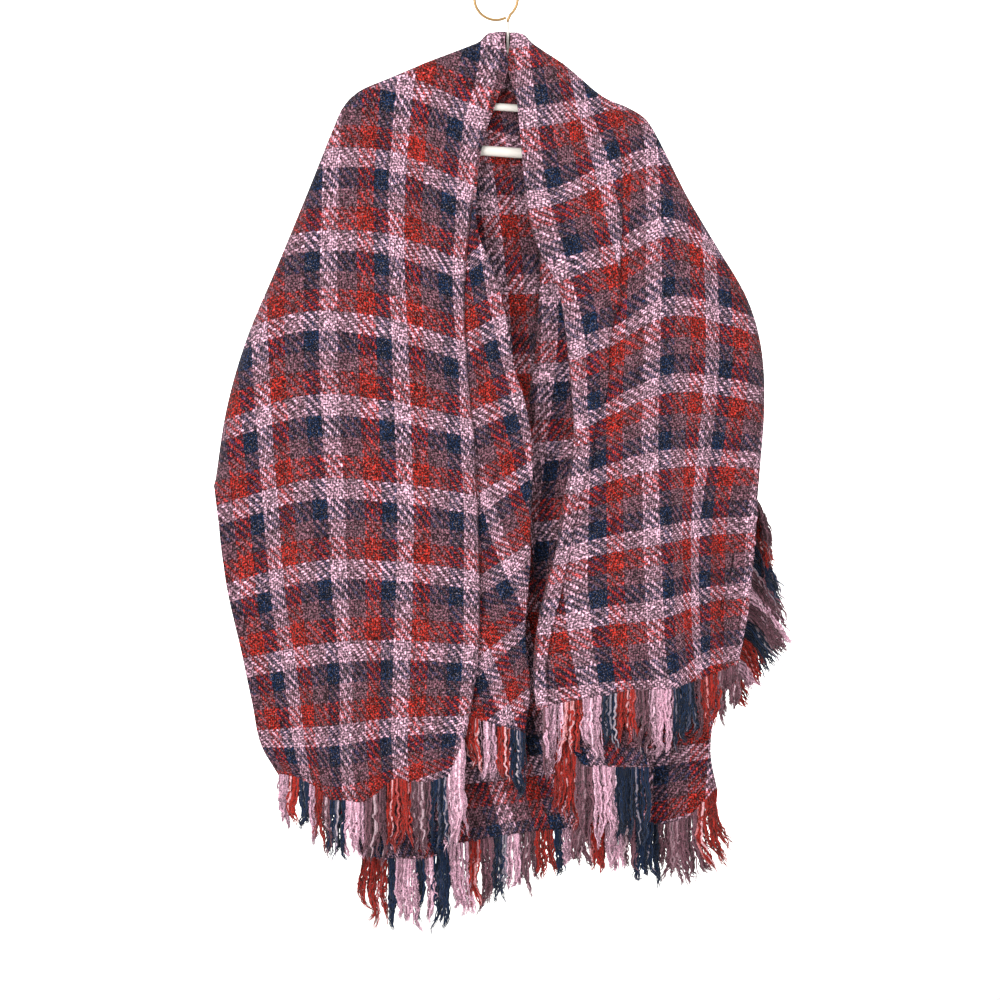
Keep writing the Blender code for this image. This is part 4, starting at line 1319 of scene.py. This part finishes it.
# %% The seven fringes
LEFT_FRINGE = (
    # x, length
    (-298, 84), (-264, 72), (-240, 78), (-216, 92), (-190, 84), (-148, 102), (-90, 98), (-66, 118),
    (-40, 130),
)
LEFT_INNER_FRINGE = ((-30, 76), (-12, 86), (14, 76), (44, 112))
RIGHT_FRINGE = (
    (60, 112), (88, 72), (120, 78), (176, 80), (222, 94), (262, 80), (296, 78), (330, 60)
)
RIGHT_FOLD_FRINGE = ((70, 110), (96, 106), (140, 114), (200, 114))
LEFT_BACK_FRINGE = (
    (-182, 78), (-150, 94), (-112, 102), (-76, 108), (-50, 102), (0, 94), (50, 80), (102, 56)
)
RIGHT_BACK_FRINGE = (
    (104, 54), (140, 60), (180, 70), (200, 86), (240, 88), (262, 96), (284, 92), (303, 88)
)
LEFT_YARNS = (
    # where each stripe starts along the hem, and its colour
    (-300, "pink"), (-281, "red"), (-268, "navy"), (-254, "pink"), (-246, "red"), (-235, "mauve"),
    (-226, "navy"), (-205, "pink"), (-177, "mauve"), (-150, "red"), (-116, "mauve"), (-88, "navy"),
    (-67, "pink"),
)
LEFT_INNER_YARNS = ((-41, "red"), (-22, "pink"), (0, "red"), (19, "navy"))
RIGHT_YARNS = (
    (46, "mauve"), (67, "pink"), (90, "red"), (118, "pink"), (146, "navy"), (165, "red"),
    (189, "mauve"), (209, "pink"), (242, "navy"), (269, "mauve"), (279, "red"), (302, "mauve"),
)
RIGHT_FOLD_YARNS = ((60, "pink"), (76, "red"), (109, "mauve"), (131, "pink"), (163, "navy"))
LEFT_BACK_YARNS = (
    (-190, "red"), (-148, "navy"), (-137, "pink"), (-109, "navy"), (-99, "pink"), (-87, "navy"),
    (-65, "pink"), (-38, "red"), (-22, "mauve"), (-3, "navy"), (15, "pink"), (34, "mauve"),
    (54, "red"), (79, "navy"), (91, "pink"),
)
RIGHT_BACK_YARNS = (
    (100, "mauve"), (124, "red"), (150, "pink"), (174, "mauve"), (192, "navy"), (222, "mauve"),
    (276, "red"),
)
FRINGES = (
    # name, colours, lengths, seed, how far the outer tassels lean out
    ("fringe_left_front", LEFT_YARNS, LEFT_FRINGE, 11, 0.0),
    ("fringe_left_inner", LEFT_INNER_YARNS, LEFT_INNER_FRINGE, 12, 0.0),
    ("fringe_right_front", RIGHT_YARNS, RIGHT_FRINGE, 13, 0.0),
    ("fringe_right_fold", RIGHT_FOLD_YARNS, RIGHT_FOLD_FRINGE, 14, 0.0),
    ("fringe_left_back", LEFT_BACK_YARNS, LEFT_BACK_FRINGE, 15, 0.0),
    ("fringe_right_back", RIGHT_BACK_YARNS, RIGHT_BACK_FRINGE, 16, 0.24),
)
fringe_pieces = {}
for name, yarns, lengths, seed, fan in FRINGES:
    made = strand_roots(name + "_yarns", HEMS[name], yarns, lengths, seed, fan)
    count = len(made.data.vertices)
    fringe_pieces[name] = grow(made, strands, {"Seed": float(seed)})
    print(name, count, "strands,", len(made.data.polygons), "faces")

# %% [markdown]
# Up the right edge the ends stick out between the two layers, then droop and curl
# down under their own weight.

# %% The side fringe
SIDE_FRINGE = (
    # depth on the panel's edge, how far its tip lies out and down
    (700, 28, 64), (732, 22, 78), (765, 30, 66), (800, 42, 56), (836, 56, 66), (868, 54, 56),
    (888, 38, 48), (924, 28, 40), (972, 20, 24),
)
SIDE_YARNS = (
    (690, "mauve"), (718, "red"), (748, "mauve"), (772, "navy"), (808, "mauve"), (832, "pink"),
    (856, "mauve"), (880, "navy"), (904, "red"), (930, "pink"), (950, "red"),
)
line = HEMS["fringe_right_side"]
made = strand_roots(
    "fringe_right_side_yarns", line, SIDE_YARNS, ((300, 1), (400, 1)), 17, bend=0.7, key=2
)
root = np.array([v.co[:] for v in made.data.vertices]) / MM
data = np.asarray(SIDE_FRINGE, float)
out = np.interp(-root[:, 2], data[:, 0], data[:, 1])
drop = np.interp(-root[:, 2], data[:, 0], data[:, 2])
random = np.random.default_rng(18)
tip = np.stack(
    [out * random.uniform(0.6, 1.05, len(out)), random.uniform(-3, 3, len(out)), 0 * out], axis=1
)
made.data.attributes["tip"].data.foreach_set("vector", (tip * MM).ravel())
drop = drop * random.uniform(0.8, 1.1, len(out))
made.data.attributes["length"].data.foreach_set("value", drop * MM)
fringe_pieces["fringe_right_side"] = grow(made, strands, {"Seed": 17.0})
print("side fringe:", len(root), "strands")

# %% [markdown]
# ## The hanger
#
# A white moulded tube hanger: a closed loop of tube with a brace across it and a
# short stem, and a wire hook bent to a nearly closed ring.  Curves with a round
# bevel give tubes their true section.

# %% Tubes along curves
NECK_Z = -103.0
ARM_REACH, ARM_DROP = 188.0, 86.0
BAR_DROP, BRACE_DROP = 134.5, 73.5
TUBE_RADIUS, BRACE_RADIUS = 7.0, 5.2
NECK_RADIUS, TIP_RADIUS, CORNER_RADIUS = 18.0, 11.0, 15.0
HANGER_TILT = np.radians(4.0)
STEM_RADIUS, WIRE_RADIUS = 2.2, 1.9
STEM_TOP, HOOK_RADIUS = -60.0, 29.5
# The hook's ring in degrees from +X, from the stem round to a tip that almost meets it.
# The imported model's wire stops about 10 mm short of the stem.
HOOK_FROM, HOOK_TO = -48, 298


def tilted(x, z):
    """From the hanger's own frame, neck at its origin, to the object's."""
    c, s = np.cos(HANGER_TILT), np.sin(HANGER_TILT)
    return (STEM_X + x * c + z * s, 0.0, NECK_Z - x * s + z * c)


def rounded(corners, radii, steps=14):
    """A closed line with its corners rounded."""
    corners = np.asarray(corners, float)
    line = []
    for i, radius in enumerate(radii):
        here = corners[i]
        back, ahead = corners[i - 1] - here, corners[(i + 1) % len(corners)] - here
        back, ahead = back / np.linalg.norm(back), ahead / np.linalg.norm(ahead)
        cut = radius / np.tan(0.5 * np.arccos(np.clip(back @ ahead, -1, 1)))
        for s in np.linspace(0, 1, steps + 1):
            line.append(here + back * cut * (1 - s) ** 2 + ahead * cut * s**2)
    return line


def tube(name, lines, look):
    """Round tubes along lines of (points, radius, closed), as one mesh."""
    curve = bpy.data.curves.new(name, "CURVE")
    curve.dimensions = "3D"
    curve.bevel_depth = MM
    curve.bevel_resolution = 6
    curve.use_fill_caps = True
    for points, radius, closed in lines:
        spline = curve.splines.new("POLY")
        spline.points.add(len(points) - 1)
        for point, (x, y, z) in zip(spline.points, points):
            point.co = (x * MM, y * MM, z * MM, 1.0)
            point.radius = radius
        spline.use_cyclic_u = closed
        spline.use_smooth = True
    guide = placed(name + "_guide", curve)
    graph = bpy.context.evaluated_depsgraph_get()
    mesh = bpy.data.meshes.new_from_object(guide.evaluated_get(graph))
    bpy.data.objects.remove(guide, do_unlink=True)
    made = bmesh.new()
    made.from_mesh(mesh)
    bmesh.ops.remove_doubles(made, verts=made.verts, dist=1e-6)
    bmesh.ops.recalc_face_normals(made, faces=made.faces)
    made.to_mesh(mesh)
    made.free()
    mesh.name = name
    mesh.materials.clear()
    mesh.materials.append(look)
    mesh.shade_smooth()
    return placed(name, mesh)


# %% Hanger materials
def hard_surface(name, marks, roughness, settings):
    """A hard surface whose roughness wavers between two values, over marks of one scale."""
    made, tree, shader = new_material(name, settings)
    place = add(tree, "ShaderNodeTexCoord").outputs["Object"]
    noise = add(tree, NOISE, {"Vector": place, "Scale": marks, "Detail": 3.0})
    low, high = roughness
    spread = {"Value": noise.outputs["Fac"], "To Min": low, "To Max": high}
    rough = add(tree, MAP_RANGE, spread).outputs["Result"]
    tree.links.new(rough, shader.inputs["Roughness"])
    return made


# Polypropylene from a polished mould: smooth, a little waxy, uneven over about 30 mm.
white_plastic = hard_surface(
    "white_moulded_plastic", 30.0, (0.28, 0.45), {"Base Color": "#ede6de", "IOR": 1.49}
)
# Brass-plated drawn steel wire: bright, with fine drawing marks.  They are finer than a
# tenth of a millimetre, too fine to show, so they are drawn coarser, about 3 mm.
brass_wire = hard_surface(
    "brass_plated_wire", 350.0, (0.24, 0.42), {"Base Color": "#b08c5c", "Metallic": 1.0}
)

# %% The hanger's two pieces
corners = [(0, 0), (ARM_REACH, -ARM_DROP), (ARM_REACH - 8, -BAR_DROP)]
corners += [(-ARM_REACH + 8, -BAR_DROP), (-ARM_REACH, -ARM_DROP)]
radii = (NECK_RADIUS, TIP_RADIUS, CORNER_RADIUS, CORNER_RADIUS, TIP_RADIUS)
outline = [tilted(x, z) for x, z in rounded(corners, radii)]
reach = ARM_REACH * BRACE_DROP / ARM_DROP
brace = [tilted(-reach, -BRACE_DROP), tilted(reach, -BRACE_DROP)]
stem = [(STEM_X, 0, STEM_TOP), (STEM_X, 0, NECK_Z - 3)]
hanger_tubes = tube(
    "hanger_tubes",
    [(outline, TUBE_RADIUS, True), (brace, BRACE_RADIUS, False), (stem, STEM_RADIUS, False)],
    white_plastic,
)
ring = [(STEM_X, 0, STEM_TOP + RIM_GAP), (STEM_X, 0, -57.5), (STEM_X + 2, 0, -53.5)]
centre = -HOOK_RADIUS + WIRE_RADIUS
for angle in np.radians(np.arange(HOOK_FROM, HOOK_TO, 3)):
    ring.append((HOOK_RADIUS * np.cos(angle), 0, centre + HOOK_RADIUS * np.sin(angle)))
hanger_wire = tube("hanger_wire", [(ring, WIRE_RADIUS, False)], brass_wire)
print("hanger:", len(hanger_tubes.data.polygons), "faces, hook", len(hanger_wire.data.polygons))

# %% [markdown]
# ## What each piece stands for
#
# Every piece takes the place of one plain solid of the imported model and moves with
# the garment's one body.  The flat size of each panel's part that shows is worked out
# from the panel as drawn.  The whole widths would be cut to about 0.70 m by 2.0 m
# each, so about half of the cloth isn't drawn.

# %% Pieces, each in place of a plain solid
PIECES = {
    "left_front": cloth_left_front,
    "right_front": cloth_right_front,
    "left_back": cloth_left_back,
    "right_back": cloth_right_back,
    "hanger_frame": hanger_tubes,
    "hanger_hook": hanger_wire,
    **fringe_pieces,
}
for node, piece in PIECES.items():
    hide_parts(node)
    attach(piece, "root")

# %% Sizes, and the end
low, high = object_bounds()
for label, ours, packed in (("low", low, cad_low), ("high", high, cad_high)):
    print(label, "corner moved by, mm:", np.round((np.array(ours) - packed) / MM, 1))
